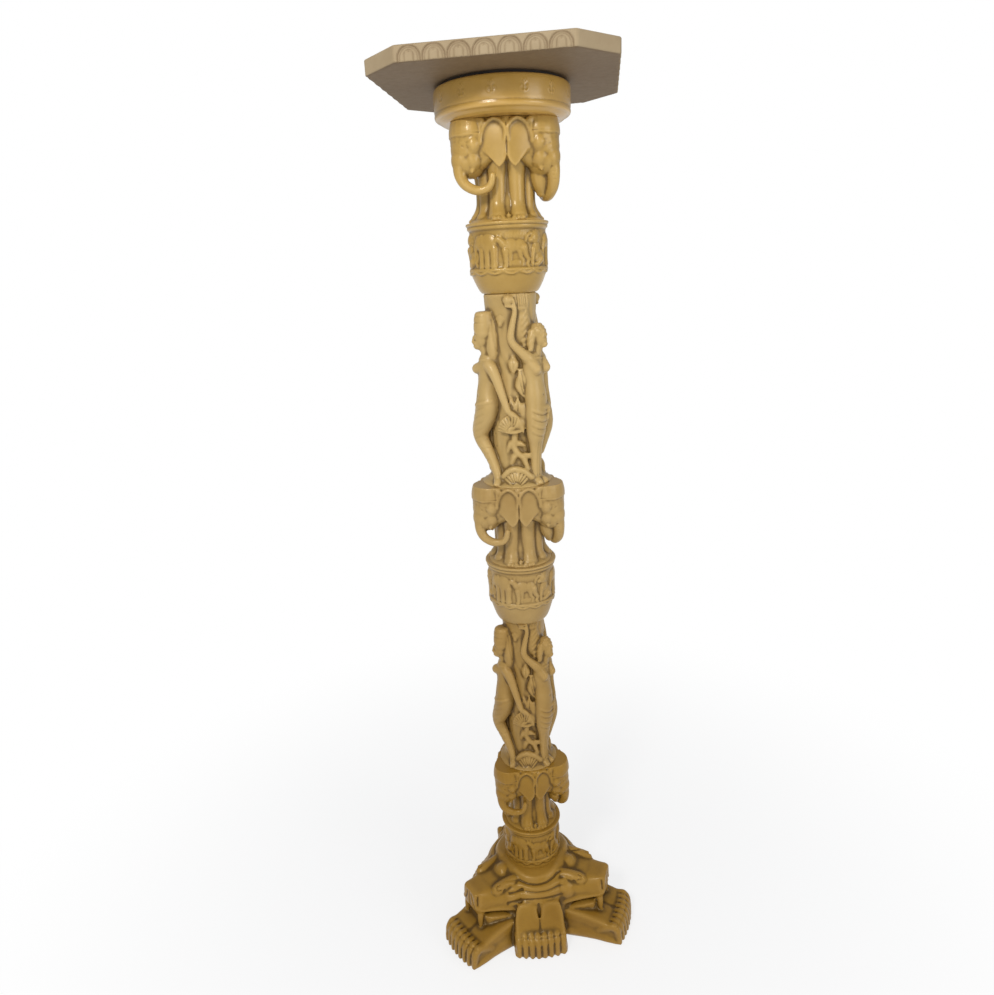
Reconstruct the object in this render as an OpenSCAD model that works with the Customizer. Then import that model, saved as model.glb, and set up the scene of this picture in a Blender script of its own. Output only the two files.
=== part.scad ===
// Carved pedestal column: a stack of cast pieces on one threaded rod, with a loose turning top.
// Millimetres, +Z up, origin on the column's axis at floor level, front of the column towards -Y.

/* [Top slab] */
// Width of the slab across its flats
slab_w = 300; // [280:1:340]
// Thickness of the slab
slab_h = 18; // [16:0.5:26]
// Length that each corner is cut back along both sides
slab_cut = 48; // [34:1:60]
// Turn of the slab against the column's front
slab_turn = -6.7; // [-20:0.1:20]
// Petals carved along each long edge
petal_count = 7; // [5:1:8]
// Width of the line that draws a petal
petal_line = 1.6; // [1:0.1:2]
// Depth of the petals' lines
petal_depth = 1; // [0.6:0.1:1.6]

/* [Turning seat] */
// Height of the dark seat ring between collar and slab
ring_h = 5.5; // [3:0.5:8]
// Outer radius of the seat ring
ring_r = 80; // [72:0.5:82]
// Inner radius of the seat ring
ring_hole_r = 46; // [40:0.5:60]
// Radius of the pivot pin
pin_r = 8; // [6:0.5:10]
// Depth that the pin stands in its bush
pin_in_bush = 12; // [10:0.5:14]
// Depth that the pin reaches into the slab
pin_in_slab = 11; // [8:0.5:13]
// Running clearance round the pin
pin_play = 0.05; // [0.02:0.01:0.1]

/* [Collar] */
// Radius of the collar's plain band
collar_r = 88.4; // [84:0.2:94]
// Height of the plain band
collar_band_h = 26.5; // [22:0.5:34]
// Height of the round bead under the band
collar_bead_h = 7.5; // [5:0.5:10]
// Height of the hollow under the bead
collar_cove_h = 5.5; // [4:0.5:9]
// Radius of the collar's underside
collar_foot_r = 76; // [74:0.5:80]

/* [Elephants] */
// Height of the upper ring of elephants
upper_elephant_h = 121; // [116:1:128]
// Height of the middle ring of elephants
middle_elephant_h = 124; // [118:1:130]
// Height of the lower ring of elephants
lower_elephant_h = 121; // [116:1:128]
// Reach of the upper foreheads from the axis
upper_reach = 77; // [74:0.5:80]
// Reach of the middle foreheads from the axis
middle_reach = 74; // [71:0.5:77]
// Reach of the lower foreheads from the axis
lower_reach = 68; // [65:0.5:71]
// Turn of the upper elephants and drum
upper_turn = 3.6; // [-12:0.1:12]
// Turn of the middle elephants and drum
middle_turn = 0.5; // [-12:0.1:12]
// Turn of the lower elephants and drum
lower_turn = 9.8; // [-12:0.1:12]

/* [Drums] */
// Height of the upper drum
upper_drum_h = 91; // [84:1:98]
// Height of the middle drum
middle_drum_h = 97; // [88:1:104]
// Height of the lower drum
lower_drum_h = 83; // [76:1:90]
// Rim radius of the upper drum
upper_rim_r = 56.2; // [53:0.2:60]
// Rim radius of the middle drum
middle_rim_r = 54.1; // [51:0.2:58]
// Rim radius of the lower drum
lower_rim_r = 50; // [47:0.2:53]
// Neck radius under a drum's bowl
neck_r = 38; // [36:0.5:41]
// Height of the rim's upper moulding
rim_h = 5; // [4:0.5:7]
// Height of the animal frieze
frieze_h = 49; // [44:1:52]
// Height of the raised animals above the drum
relief_h = 2.2; // [1.2:0.2:3]

/* [Figure shafts] */
// Height of the upper shaft
upper_shaft_h = 268; // [256:1:280]
// Height of the lower shaft
lower_shaft_h = 258; // [246:1:270]
// Radius of the tree trunk in the upper shaft
upper_trunk_r = 35; // [33:0.5:37]
// Radius of the tree trunk in the lower shaft
lower_trunk_r = 32; // [30:0.5:34]
// Turn of the figures against the column's front
shaft_turn = -3; // [-12:0.5:12]
// Height that the figures are carved to, from the foot of their shaft
figure_h = 268; // [262:1:270]
// Height of the flowers held in the gaps between the figures
flower_z = 88; // [80:1:96]
// Radius of the balls held up under the drum
ball_r = 8; // [6:0.5:10]

/* [Lion base] */
// Height of the base casting
base_h = 107; // [100:1:112]
// Radius of the base's dome at mid height
base_r = 88; // [84:1:94]
// Distance of the forepaw toes under each head from the axis
head_paw_reach = 172; // [162:1:180]
// Distance of the toes between two heads from the axis
gap_paw_reach = 117; // [112:1:124]
// Width of one toe
toe_w = 10.6; // [9.5:0.1:11.5]
// Height of a paw's knuckles
knuckle_h = 44; // [38:1:50]
// Turn of the base against the column's front
base_turn = 9.5; // [-12:0.1:12]
// Turn of the paws between the heads against the middle of their gap
gap_paw_turn = -5; // [-8:0.5:8]
// Thickness of the felt pads under the paws
pad_h = 2; // [1:0.5:4]

/* [Tie rod] */
// Radius of the threaded rod
rod_r = 5; // [4:0.5:6]
// Gap between the rod and the holes in the castings
rod_gap = 1; // [0.5:0.1:2]
// Radius of the washers
washer_r = 15; // [13:0.5:18]
// Thickness of the washers
washer_h = 2.5; // [1.5:0.5:4]
// Width of the nuts across their flats
nut_w = 17; // [15:0.5:20]
// Height of the nuts
nut_h = 8; // [6:0.5:10]
// Depth of the nut's recess under the base
recess_h = 30; // [24:1:36]

/* [Hidden] */

// Places round the axis: a head faces the viewer's right, the back and the viewer's left
first_head = -30;
first_gap = -90;
sector = 120;

// Castings from the floor up
base_z = pad_h;
lower_drum_z = base_z + base_h;
lower_elephant_z = lower_drum_z + lower_drum_h;
lower_shaft_z = lower_elephant_z + lower_elephant_h;
middle_drum_z = lower_shaft_z + lower_shaft_h;
middle_elephant_z = middle_drum_z + middle_drum_h;
upper_shaft_z = middle_elephant_z + middle_elephant_h;
upper_drum_z = upper_shaft_z + upper_shaft_h;
upper_elephant_z = upper_drum_z + upper_drum_h;
collar_z = upper_elephant_z + upper_elephant_h;
collar_h = collar_cove_h + collar_bead_h + collar_band_h;
ring_z = collar_z + collar_h;
slab_z = ring_z + ring_h;

// Rod, nuts and the recesses that they sit in
rod_hole_r = rod_r + rod_gap;
recess_r = washer_r + 3;
bush_r = recess_r;
bush_floor = 2;
bush_h = pin_in_bush + bush_floor;
rod_end = 2;
collar_recess_h = bush_h + rod_end + nut_h + washer_h;
top_washer_z = ring_z - collar_recess_h;
top_nut_z = top_washer_z + washer_h;
bottom_washer_z = base_z + recess_h - washer_h;
bottom_nut_z = bottom_washer_z - nut_h;
rod_z = bottom_nut_z - rod_end;
rod_top = top_nut_z + nut_h + rod_end / 2;
pin_z = ring_z - pin_in_bush;

function unit(v) = v / norm(v);

// Three copies round the axis
module three(first) {
    for (k = [0:2]) rotate([0, 0, first + k * sector]) children();
}

// A closed limb swept through stations [x, y, z, radius towards ref, radius across]
module limb(stations, ref = [1, 0, 0], sides = 7) {
    n = len(stations);
    points = [
        for (i = [0:n - 1])
            let (
                s = stations[i],
                before = stations[max(i - 1, 0)],
                after = stations[min(i + 1, n - 1)],
                d = unit([after[0] - before[0], after[1] - before[1], after[2] - before[2]]),
                u = unit(ref - (ref * d) * d),
                v = cross(d, u)
            )
            for (k = [0:sides - 1])
                let (a = 360 * k / sides)
                [s[0], s[1], s[2]] + u * s[3] * cos(a) + v * s[4] * sin(a)
    ];
    skin(points, n, sides);
}

// Closed skin over n rings of points, each ring with the given number of sides
module skin(points, n, sides) {
    walls = [
        for (i = [0:n - 2])
            for (k = [0:sides - 1])
                let (a = i * sides + k, b = i * sides + (k + 1) % sides)
                each [[a, a + sides, b], [b, a + sides, b + sides]]
    ];
    polyhedron(points, concat(
        walls,
        [[for (k = [0:sides - 1]) k]],
        [[for (k = [sides - 1:-1:0]) (n - 1) * sides + k]]
    ), convexity = 4);
}

module ball(at, size, sides = 10) {
    translate(at) scale(size) sphere(r = 1, $fn = sides);
}

// Leaf-shaped ear, drawn hanging down from its root at the origin
module ear_outline(w, drop) {
    polygon([
        for (a = [10:40:170]) [w / 2 * cos(a), -w / 2 + w / 2 * sin(a)],
        [-w * 0.42, -drop * 0.7], [w * 0.1, -drop], [w * 0.5, -drop * 0.7]
    ]);
}

// A ring of three elephants back to back, each facing out, with its height and its reach
module elephants(h, reach) {
    s = reach / 77;
    ear_w = 29 * s;
    ear_drop = 58;
    // Bodies merged into one core that flares to the feet and to the heads
    rotate_extrude($fn = 12) polygon([
        [0, 0], [48 * s, 0], [37 * s, 15], [35 * s, h - 54], [58 * s, h - 20], [60 * s, h], [0, h]
    ]);
    three(first_head) {
        // Skull, brow and the root of the trunk
        hull() {
            translate([45 * s, 0, h - 12]) cylinder(r = 32 * s, h = 12, $fn = 12);
            ball([46 * s, 0, h - 30], [31 * s, 29 * s, 18], 6);
            ball([57 * s, 1, h - 52], [15 * s, 17 * s, 14], 6);
        }
        // Trunk, coming down and curling back to the side in an open ring
        limb([
            [61 * s, 0, h - 42, 16 * s, 15 * s], [66 * s, 2, h - 60, 11, 12],
            [63 * s, 6, h - 74, 8.5, 9.5], [54 * s, 15, h - 82, 6.8, 6.8],
            [45 * s, 25, h - 81, 5.8, 5.8], [40 * s, 32, h - 67, 4, 4]
        ], [0, 1, 0], 6);
        // Lower lip and tusk stubs
        ball([51 * s, 5, h - 64], [7, 8, 9], 4);
        for (side = [-1, 1])
            limb([
                [58 * s, side * 12, h - 54, 6, 6], [66 * s, side * 15, h - 64, 3, 3]
            ], [0, 0, 1], 4);
    }
    three(first_gap) {
        for (side = [-1, 1]) {
            // Forelegs side by side
            limb([
                [37 * s, side * 12 * s, h - 40, 12, 11], [40 * s, side * 12.5 * s, 14, 8.5, 8.5],
                [42 * s, side * 12.5 * s, 5, 11, 10.5], [42 * s, side * 12.5 * s, 0, 12, 11.5]
            ], [1, 0, 0], 6);
            // Ear with its rolled rim, leaning back at the outer edge
            translate([51 * s, side * 14 * s, h]) rotate([0, 0, side * 14]) rotate([90, 0, 90])
                mirror([side < 0 ? 1 : 0, 0]) difference() {
                    linear_extrude(height = 6) ear_outline(ear_w, ear_drop);
                    translate([0, -2, 4.4]) linear_extrude(height = 3)
                        ear_outline(ear_w - 4, ear_drop - 5);
                }
            // Cloth strap outside the ear
            translate([47 * s, side * 31 * s, h - 33]) rotate([0, 0, side * 30])
                translate([0, -5, 0]) cube([8 * s, 10, 33]);
        }
        // Flame between the feet
        translate([42 * s, 0, 0]) cylinder(r1 = 6, r2 = 1, h = 28, $fn = 4);
    }
}

module elephant_ring(h, reach) {
    difference() {
        elephants(h, reach);
        translate([0, 0, -1]) cylinder(r = rod_hole_r, h = h + 2, $fn = 13);
    }
}

// Animals of the frieze, each standing on y = 0 and about 34 high
module deer_outline() {
    polygon([
        [-15, 0], [-11, 0], [-10, 13], [6, 13], [9, 8], [7, 0], [11, 0], [13, 9], [12, 16], [13, 22],
        [17, 26], [17, 31], [13, 33], [10, 30], [12, 27], [8, 24], [-8, 24], [-11, 31], [-17, 33],
        [-19, 29], [-14, 24], [-16, 14]
    ]);
}

module calf_elephant_outline() {
    polygon([
        [-14, 0], [-8, 0], [-7, 11], [3, 11], [4, 0], [10, 0], [11, 14], [14, 6], [14, 0], [17, 0],
        [18, 10], [16, 22], [12, 29], [5, 31], [-8, 31], [-14, 26], [-16, 14]
    ]);
}

module lion_outline() {
    polygon([
        [-11, 0], [10, 0], [12, 5], [8, 9], [11, 14], [12, 21], [9, 24], [10, 30], [5, 34],
        [-2, 33], [-4, 27], [-8, 20], [-10, 12], [-14, 9], [-15, 3]
    ]);
}

// One raised animal on the wall of a drum, drawn for a wall of this radius
module on_wall(a, wall_r, z) {
    drawn_r = 52;
    intersection() {
        rotate([0, 0, a]) translate([wall_r - 8, 0, z]) rotate([90, 0, 90])
            scale(wall_r / drawn_r) linear_extrude(height = 22) children();
        translate([0, 0, z - 2]) cylinder(r = wall_r + relief_h, h = frieze_h, $fn = 96);
    }
}

// Drum with rim, animal frieze, scalloped border and a bowl that narrows to the neck
module drum(h, rim_r, foot_r) {
    wall_r = rim_r - 4.5;
    frieze_z = h - 2 * rim_h - frieze_h;
    difference() {
        union() {
            rotate_extrude($fn = 120) polygon(concat(
                [[0, 0], [foot_r, 0]],
                [for (t = [0.08, 0.2, 0.36, 0.56, 0.78]) [
                    foot_r + (wall_r - foot_r) * sqrt(t),
                    (frieze_z - 6) * t
                ]],
                [
                    [wall_r + 0.5, frieze_z - 6], [wall_r + 2.5, frieze_z - 5.5],
                    [wall_r + 2.5, frieze_z - 1], [wall_r, frieze_z],
                    [wall_r + 0.6, frieze_z + frieze_h / 2], [wall_r, frieze_z + frieze_h],
                    [rim_r - 2, frieze_z + frieze_h], [rim_r - 1.6, frieze_z + frieze_h + rim_h - 1],
                    [rim_r - 3, frieze_z + frieze_h + rim_h], [rim_r, frieze_z + frieze_h + rim_h + 1],
                    [rim_r, h - 1.5], [rim_r - 1.5, h], [0, h]
                ]
            ));
            for (k = [0:2]) {
                middle = first_gap + k * sector;
                on_wall(middle, wall_r, frieze_z + 2) deer_outline();
                on_wall(middle - sector / 3, wall_r, frieze_z + 2) calf_elephant_outline();
                on_wall(middle + sector / 3, wall_r, frieze_z + 2) lion_outline();
            }
        }
        translate([0, 0, -1]) cylinder(r = rod_hole_r, h = h + 2, $fn = 48);
    }
}

// Figure standing against the trunk with one arm hanging, knee bent outwards
module resting_figure() {
    head_z = figure_h - 46;
    hip_z = figure_h - 142;
    // Head with its tall headdress, and the hair behind it
    limb([
        [48, 3, head_z - 20, 5, 5], [48, 3, head_z - 12, 10, 10], [47, 3, head_z + 12, 11, 11],
        [45, 3, head_z + 24, 7, 8]
    ], [1, 0, 0], 7);
    ball([37, 5, head_z - 4], [12, 13, 24], 6);
    // Shoulders, waist and hips
    limb([
        [37, 3, head_z - 22, 8, 8], [37, 3, head_z - 36, 11, 21], [39, 3, head_z - 68, 12, 15],
        [39, 2, hip_z, 15, 21], [39, 2, hip_z - 20, 13, 18]
    ], [1, 0, 0], 8);
    for (side = [-6, 11]) ball([49, side, figure_h - 99], [9, 9, 9], 6);
    // Near arm down to the flower that she holds, and the far one against the trunk
    limb([
        [36, 22, head_z - 34, 7, 7], [34, 29, head_z - 72, 5.5, 5.5], [32, 34, flower_z + 4, 4.4, 5]
    ], [1, 0, 0], 5);
    limb([
        [36, -18, head_z - 34, 7, 7], [34, -26, head_z - 64, 5.5, 5.5], [36, -22, head_z - 94, 5, 5]
    ], [1, 0, 0], 5);
    // Legs with the knees bent outwards
    for (leg = [[11, 14, 24], [-8, -8, -10]])
        limb([
            [40, leg[0], hip_z - 2, 14, 13], [49, leg[1], hip_z - 58, 10.5, 11],
            [37, leg[2], 18, 6.5, 7], [41, leg[2], 6, 8, 6], [41, leg[2], 0, 9, 6]
        ], [1, 0, 0], 6);
}

// Figure standing straight, holding up a ball in one hand under the drum of a shaft of this height
module reaching_figure(h) {
    head_z = figure_h - 54;
    hip_z = figure_h - 156;
    limb([
        [47, -2, head_z - 16, 5, 5], [46, -2, head_z - 8, 9, 9], [45, -2, head_z + 8, 10, 10],
        [44, -2, head_z + 16, 6, 7]
    ], [1, 0, 0], 7);
    ball([37, -4, head_z - 2], [11, 12, 18], 6);
    limb([
        [37, -2, head_z - 16, 7, 7], [37, -4, head_z - 28, 11, 22], [40, -4, head_z - 62, 12, 16],
        [39, -4, hip_z, 15, 22], [39, -4, hip_z - 46, 12, 20], [36, -5, 24, 7, 13], [40, -5, 6, 9, 14],
        [40, -5, 0, 10, 15]
    ], [1, 0, 0], 8);
    for (side = [-13, 5]) ball([48, side, figure_h - 99], [9, 9, 9], 6);
    // Arm raised over the gap with its elbow out, and the ball in its hand
    limb([
        [36, -20, head_z - 28, 8, 8], [29, -32, head_z - 14, 6.5, 6.5], [23, -37, head_z - 2, 5.8, 5.8],
        [21, -37, head_z + 22, 4.6, 4.6], [21, -36, h - 18, 4.4, 4.4]
    ], [1, 0, 0], 5);
    ball([21, -35, h - ball_r - 3], [ball_r, ball_r, ball_r], 10);
    // Arm hanging at the other side, with the sash that falls from it
    limb([
        [36, 16, head_z - 28, 7, 7], [34, 26, head_z - 60, 6, 6], [37, 26, hip_z - 6, 5.5, 5.5],
        [40, 24, hip_z - 40, 6.5, 6], [37, 20, hip_z - 68, 4, 4]
    ], [1, 0, 0], 5);
}

// Ribbed shell at the feet, fanned out over the trunk
module shell_ornament() {
    for (a = [-50:50:50])
        rotate([a, 0, 0]) translate([0, 0, 8]) cylinder(r1 = 1.5, r2 = 5, h = 16, center = true, $fn = 4);
}

// Shaft of three figures round a tree trunk
module figures(h, trunk_r) {
    s = trunk_r / 35;
    difference() {
        union() {
            rotate_extrude($fn = 13) polygon([
                [0, 0], [trunk_r + 3, 0], [trunk_r - 1, 24], [trunk_r + 1, h], [0, h]
            ]);
            scale([s, s, 1]) {
                for (k = [0:1]) rotate([0, 0, first_head + k * sector]) reaching_figure(h);
                rotate([0, 0, first_head + 2 * sector]) resting_figure();
                // Flower, stem and shell in the gaps between the figures
                three(first_gap) {
                    ball([34, 0, flower_z], [7, 14, 9], 6);
                    limb([
                        [30, 0, 10, 7, 5], [30, 0, flower_z + 10, 8, 5], [30, 0, h - 60, 9, 8],
                        [30, 0, h - 2, 8, 4]
                    ], [1, 0, 0], 4);
                    translate([36, 0, 6]) shell_ornament();
                }
            }
        }
        translate([0, 0, -1]) cylinder(r = rod_hole_r, h = h + 2, $fn = 13);
    }
}

// Outline of one toe from the side, from the wrist over the knuckle down to the claw
module toe_outline() {
    polygon([
        [-42, 0], [-42, knuckle_h - 9], [-14, knuckle_h], [-4, knuckle_h - 8], [0, 12], [-3, 0]
    ]);
}

// Two paws side by side, eight toes in all, with the toe tips at the given reach
module paws(reach) {
    // The toes grow into each other by this much
    joined = 1;
    for (k = [0:7]) {
        place = k - 3.5;
        translate([reach - 0.4 * place * place, place * toe_w, 0]) hull() {
            rotate([90, 0, 0]) linear_extrude(height = toe_w * 0.4, center = true) toe_outline();
            rotate([90, 0, 0]) linear_extrude(height = toe_w + joined, center = true) polygon([
                [-40, 0], [-40, knuckle_h - 12], [-12, knuckle_h - 7], [-7, 0]
            ]);
        }
    }
}

// Lion's head facing +X: brows raised behind a flat, square muzzle, with the mouth slit open
module lion_head() {
    brow_z = base_h + 10;
    muzzle_z = base_h - 8;
    mouth_z = base_h - 45;
    // Each section as x, then half width and height of the top, its rounded edge, the cheek and the chin
    sections = [
        [56, 24, base_h - 2, 38, base_h - 16, 45, mouth_z + 8, 38, 0],
        [76, 22, brow_z - 4, 34, brow_z - 14, 42, mouth_z + 8, 34, mouth_z - 38],
        [92, 23, brow_z - 2, 31, brow_z - 10, 38, mouth_z + 6, 30, mouth_z - 37],
        [101, 19, muzzle_z + 2, 27, muzzle_z - 4, 34, mouth_z + 6, 28, mouth_z - 35],
        [125, 22, muzzle_z, 26, muzzle_z - 6, 28, mouth_z + 8, 22, mouth_z - 28],
        [132, 18, muzzle_z - 4, 22, muzzle_z - 10, 23, mouth_z + 8, 17, mouth_z - 24]
    ];
    points = [
        for (s = sections) each [
            [s[0], -s[1], s[2]], [s[0], -s[3], s[4]], [s[0], -s[5], s[6]], [s[0], -s[7], s[8]],
            [s[0], s[7], s[8]], [s[0], s[5], s[6]], [s[0], s[3], s[4]], [s[0], s[1], s[2]]
        ]
    ];
    difference() {
        union() {
            skin(points, len(sections), 8);
            // Roll of the forehead between the drum and the brows
            ball([68, 0, brow_z - 4], [13, 28, 12], 8);
        }
        rotate([90, 0, 0]) linear_extrude(height = 100, center = true) polygon([
            [85, mouth_z - 14], [140, mouth_z - 8], [140, mouth_z + 6], [87, mouth_z - 6]
        ]);
    }
    for (side = [-1, 1]) {
        // Eye under its brow, and the fang in front
        ball([91, side * 30, brow_z - 9], [11, 8, 9], 6);
        limb([
            [128, side * 19, mouth_z + 8, 4, 4], [127, side * 18, mouth_z - 10, 4, 4],
            [126, side * 17, mouth_z - 25, 2, 2]
        ], [1, 0, 0], 4);
    }
}

// Two legs side by side that end in paws, running out from the dome
module foreleg_pair(reach, start) {
    paws(reach);
    for (side = [-1, 1]) hull() {
        translate([start, side * toe_w * 2 - toe_w * 1.9, 0])
            cube([reach - start - 36, toe_w * 3.8, knuckle_h - 12]);
        translate([start, side * toe_w * 2 - toe_w * 1.7, 0])
            cube([6, toe_w * 3.4, knuckle_h + 26]);
    }
}

module floor_pads() {
    color("dimgray") rotate([0, 0, base_turn]) {
        three(first_head) translate([head_paw_reach - 60, -3 * toe_w, 0])
            cube([50, 6 * toe_w, pad_h]);
        three(first_gap + gap_paw_turn) translate([gap_paw_reach - 50, -3 * toe_w, 0])
            cube([40, 6 * toe_w, pad_h]);
    }
}

module lion_base() {
    color("tan") translate([0, 0, base_z]) rotate([0, 0, base_turn]) difference() {
        union() {
            // Dome with the mane's folds hanging between the heads
            rotate_extrude($fn = 18) polygon([
                [0, 0], [base_r, 0], [base_r, base_h - 54], [base_r - 6, base_h - 50],
                [base_r - 4, base_h - 40], [base_r - 13, base_h - 32], [base_r - 11, base_h - 24],
                [base_r - 21, base_h - 16], [base_r - 20, base_h - 9], [58, base_h], [0, base_h]
            ]);
            three(first_head) {
                lion_head();
                foreleg_pair(head_paw_reach, 70);
            }
            three(first_gap + gap_paw_turn) foreleg_pair(gap_paw_reach, 60);
        }
        translate([0, 0, -1]) cylinder(r = rod_hole_r, h = base_h + 2, $fn = 16);
        translate([0, 0, -1]) cylinder(r = recess_r, h = recess_h + 1, $fn = 24);
    }
}

module lower_drum() {
    color("tan") translate([0, 0, lower_drum_z]) rotate([0, 0, lower_turn])
        drum(lower_drum_h, lower_rim_r, lower_rim_r - 1);
}

module lower_elephants() {
    color("tan") translate([0, 0, lower_elephant_z]) rotate([0, 0, lower_turn])
        elephant_ring(lower_elephant_h, lower_reach);
}

module lower_figures() {
    color("burlywood") translate([0, 0, lower_shaft_z]) rotate([0, 0, shaft_turn])
        figures(lower_shaft_h, lower_trunk_r);
}

module middle_drum() {
    color("burlywood") translate([0, 0, middle_drum_z]) rotate([0, 0, middle_turn])
        drum(middle_drum_h, middle_rim_r, neck_r);
}

module middle_elephants() {
    color("burlywood") translate([0, 0, middle_elephant_z]) rotate([0, 0, middle_turn])
        elephant_ring(middle_elephant_h, middle_reach);
}

module upper_figures() {
    color("khaki") translate([0, 0, upper_shaft_z]) rotate([0, 0, shaft_turn])
        figures(upper_shaft_h, upper_trunk_r);
}

module upper_drum() {
    color("khaki") translate([0, 0, upper_drum_z]) rotate([0, 0, upper_turn])
        drum(upper_drum_h, upper_rim_r, neck_r);
}

module upper_elephants() {
    color("goldenrod") translate([0, 0, upper_elephant_z]) rotate([0, 0, upper_turn])
        elephant_ring(upper_elephant_h, upper_reach);
}

module collar() {
    bead_z = collar_cove_h;
    band_z = bead_z + collar_bead_h;
    color("goldenrod") translate([0, 0, collar_z]) difference() {
        union() {
            rotate_extrude($fn = 160) difference() {
                polygon([
                    [0, 0], [collar_foot_r, 0], [collar_r - 4, bead_z], [collar_r - 2, bead_z],
                    [collar_r - 2, band_z], [collar_r, band_z], [collar_r, collar_h - 1.5],
                    [collar_r - 1.5, collar_h], [0, collar_h]
                ]);
                translate([collar_r, band_z]) circle(r = 1, $fn = 24);
            }
            rotate_extrude($fn = 160) translate([collar_r - 3.5, bead_z + collar_bead_h / 2])
                circle(d = collar_bead_h, $fn = 36);
        }
        translate([0, 0, -1]) cylinder(r = rod_hole_r, h = collar_h + 2, $fn = 48);
        translate([0, 0, collar_h - collar_recess_h])
            cylinder(r = recess_r, h = collar_recess_h + 1, $fn = 64);
    }
}

module seat_ring() {
    color("saddlebrown") translate([0, 0, ring_z]) difference() {
        cylinder(r = ring_r, h = ring_h, $fn = 120);
        translate([0, 0, -1]) cylinder(r = ring_hole_r, h = ring_h + 2, $fn = 96);
    }
}

module pivot_bush() {
    color("silver") translate([0, 0, ring_z - bush_h]) difference() {
        cylinder(r = bush_r, h = bush_h, $fn = 64);
        translate([0, 0, bush_floor]) cylinder(r = pin_r + pin_play, h = bush_h, $fn = 64);
    }
}

module pivot_pin() {
    color("silver") translate([0, 0, pin_z]) cylinder(r = pin_r, h = slab_z + pin_in_slab - pin_z, $fn = 64);
}

module petal_outline(w, h) {
    translate([0, h - w / 2]) circle(d = w, $fn = 40);
    translate([-w / 2, -1]) square([w, h - w / 2 + 1]);
}

module top_slab() {
    half = slab_w / 2;
    flat_w = slab_w - 2 * slab_cut;
    pitch = (flat_w - 6) / petal_count;
    petal_w = pitch - 2.5;
    petal_h = slab_h - 2.5;
    color("wheat") translate([0, 0, slab_z]) rotate([0, 0, slab_turn]) difference() {
        linear_extrude(height = slab_h) polygon([
            [half, -flat_w / 2], [half, flat_w / 2], [flat_w / 2, half], [-flat_w / 2, half],
            [-half, flat_w / 2], [-half, -flat_w / 2], [-flat_w / 2, -half], [flat_w / 2, -half]
        ]);
        for (k = [0:3], p = [0:petal_count - 1])
            rotate([0, 0, 90 * k]) translate([half - petal_depth, (p - (petal_count - 1) / 2) * pitch, 0])
                rotate([90, 0, 90]) linear_extrude(height = 2 * petal_depth) difference() {
                    petal_outline(petal_w, petal_h);
                    petal_outline(petal_w - 2 * petal_line, petal_h - petal_line);
                }
        translate([0, 0, -1]) cylinder(r = pin_r + pin_play, h = pin_in_slab + 2, $fn = 64);
    }
}

module washer(z) {
    translate([0, 0, z]) difference() {
        cylinder(r = washer_r, h = washer_h, $fn = 48);
        translate([0, 0, -1]) cylinder(r = rod_hole_r, h = washer_h + 2, $fn = 48);
    }
}

module nut(z) {
    translate([0, 0, z]) difference() {
        cylinder(r = nut_w / 2 / cos(30), h = nut_h, $fn = 6);
        translate([0, 0, -1]) cylinder(r = rod_r, h = nut_h + 2, $fn = 48);
    }
}

module tie_rod() {
    color("silver") translate([0, 0, rod_z]) cylinder(r = rod_r, h = rod_top - rod_z, $fn = 48);
}

module top_washer() {
    color("silver") washer(top_washer_z);
}

module top_nut() {
    color("silver") nut(top_nut_z);
}

module bottom_washer() {
    color("silver") washer(bottom_washer_z);
}

module bottom_nut() {
    color("silver") nut(bottom_nut_z);
}

floor_pads();
lion_base();
lower_drum();
lower_elephants();
lower_figures();
middle_drum();
middle_elephants();
upper_figures();
upper_drum();
upper_elephants();
collar();
seat_ring();
pivot_bush();
pivot_pin();
top_slab();
tie_rod();
top_washer();
top_nut();
bottom_washer();
bottom_nut();
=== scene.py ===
# Looks of the carved pedestal column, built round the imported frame.
# The carving is worked out in millimetres, each casting from its own underside, and then put in its place.
import math
from functools import partial
import bmesh
import bpy
import numpy as np
from mathutils import Matrix, Vector


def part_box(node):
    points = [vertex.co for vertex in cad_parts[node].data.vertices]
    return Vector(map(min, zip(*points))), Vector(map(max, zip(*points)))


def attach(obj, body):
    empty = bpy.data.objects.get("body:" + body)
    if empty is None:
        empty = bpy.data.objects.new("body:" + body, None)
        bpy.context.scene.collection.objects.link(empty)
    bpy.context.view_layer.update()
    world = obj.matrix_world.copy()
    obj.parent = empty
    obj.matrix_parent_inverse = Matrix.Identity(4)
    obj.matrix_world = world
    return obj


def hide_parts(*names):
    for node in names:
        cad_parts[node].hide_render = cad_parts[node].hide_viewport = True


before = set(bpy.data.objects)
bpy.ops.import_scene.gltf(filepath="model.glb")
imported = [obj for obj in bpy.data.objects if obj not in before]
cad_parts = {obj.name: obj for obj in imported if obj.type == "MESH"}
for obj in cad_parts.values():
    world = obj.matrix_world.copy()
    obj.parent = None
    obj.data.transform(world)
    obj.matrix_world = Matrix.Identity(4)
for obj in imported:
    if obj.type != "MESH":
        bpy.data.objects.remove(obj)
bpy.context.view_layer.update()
scene = bpy.context.scene
mm = 0.001
firstHead = -30     # heads face the viewer's right, the back and the viewer's left
firstGap = -90
sector = 120
sides = (-1, 1)
outward, sideways, upward = (1, 0, 0), (0, 1, 0), (0, 0, 1)


def put(name, data):
    thing = bpy.data.objects.new(name, data)
    scene.collection.objects.link(thing)
    return thing


def asMesh(name, bm):
    mesh = bpy.data.meshes.new(name)
    bm.to_mesh(mesh)
    bm.free()
    return mesh


def pointsOf(mesh):
    flat = np.empty(len(mesh.vertices) * 3)
    mesh.vertices.foreach_get("co", flat)
    return flat.reshape(-1, 3)


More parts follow.
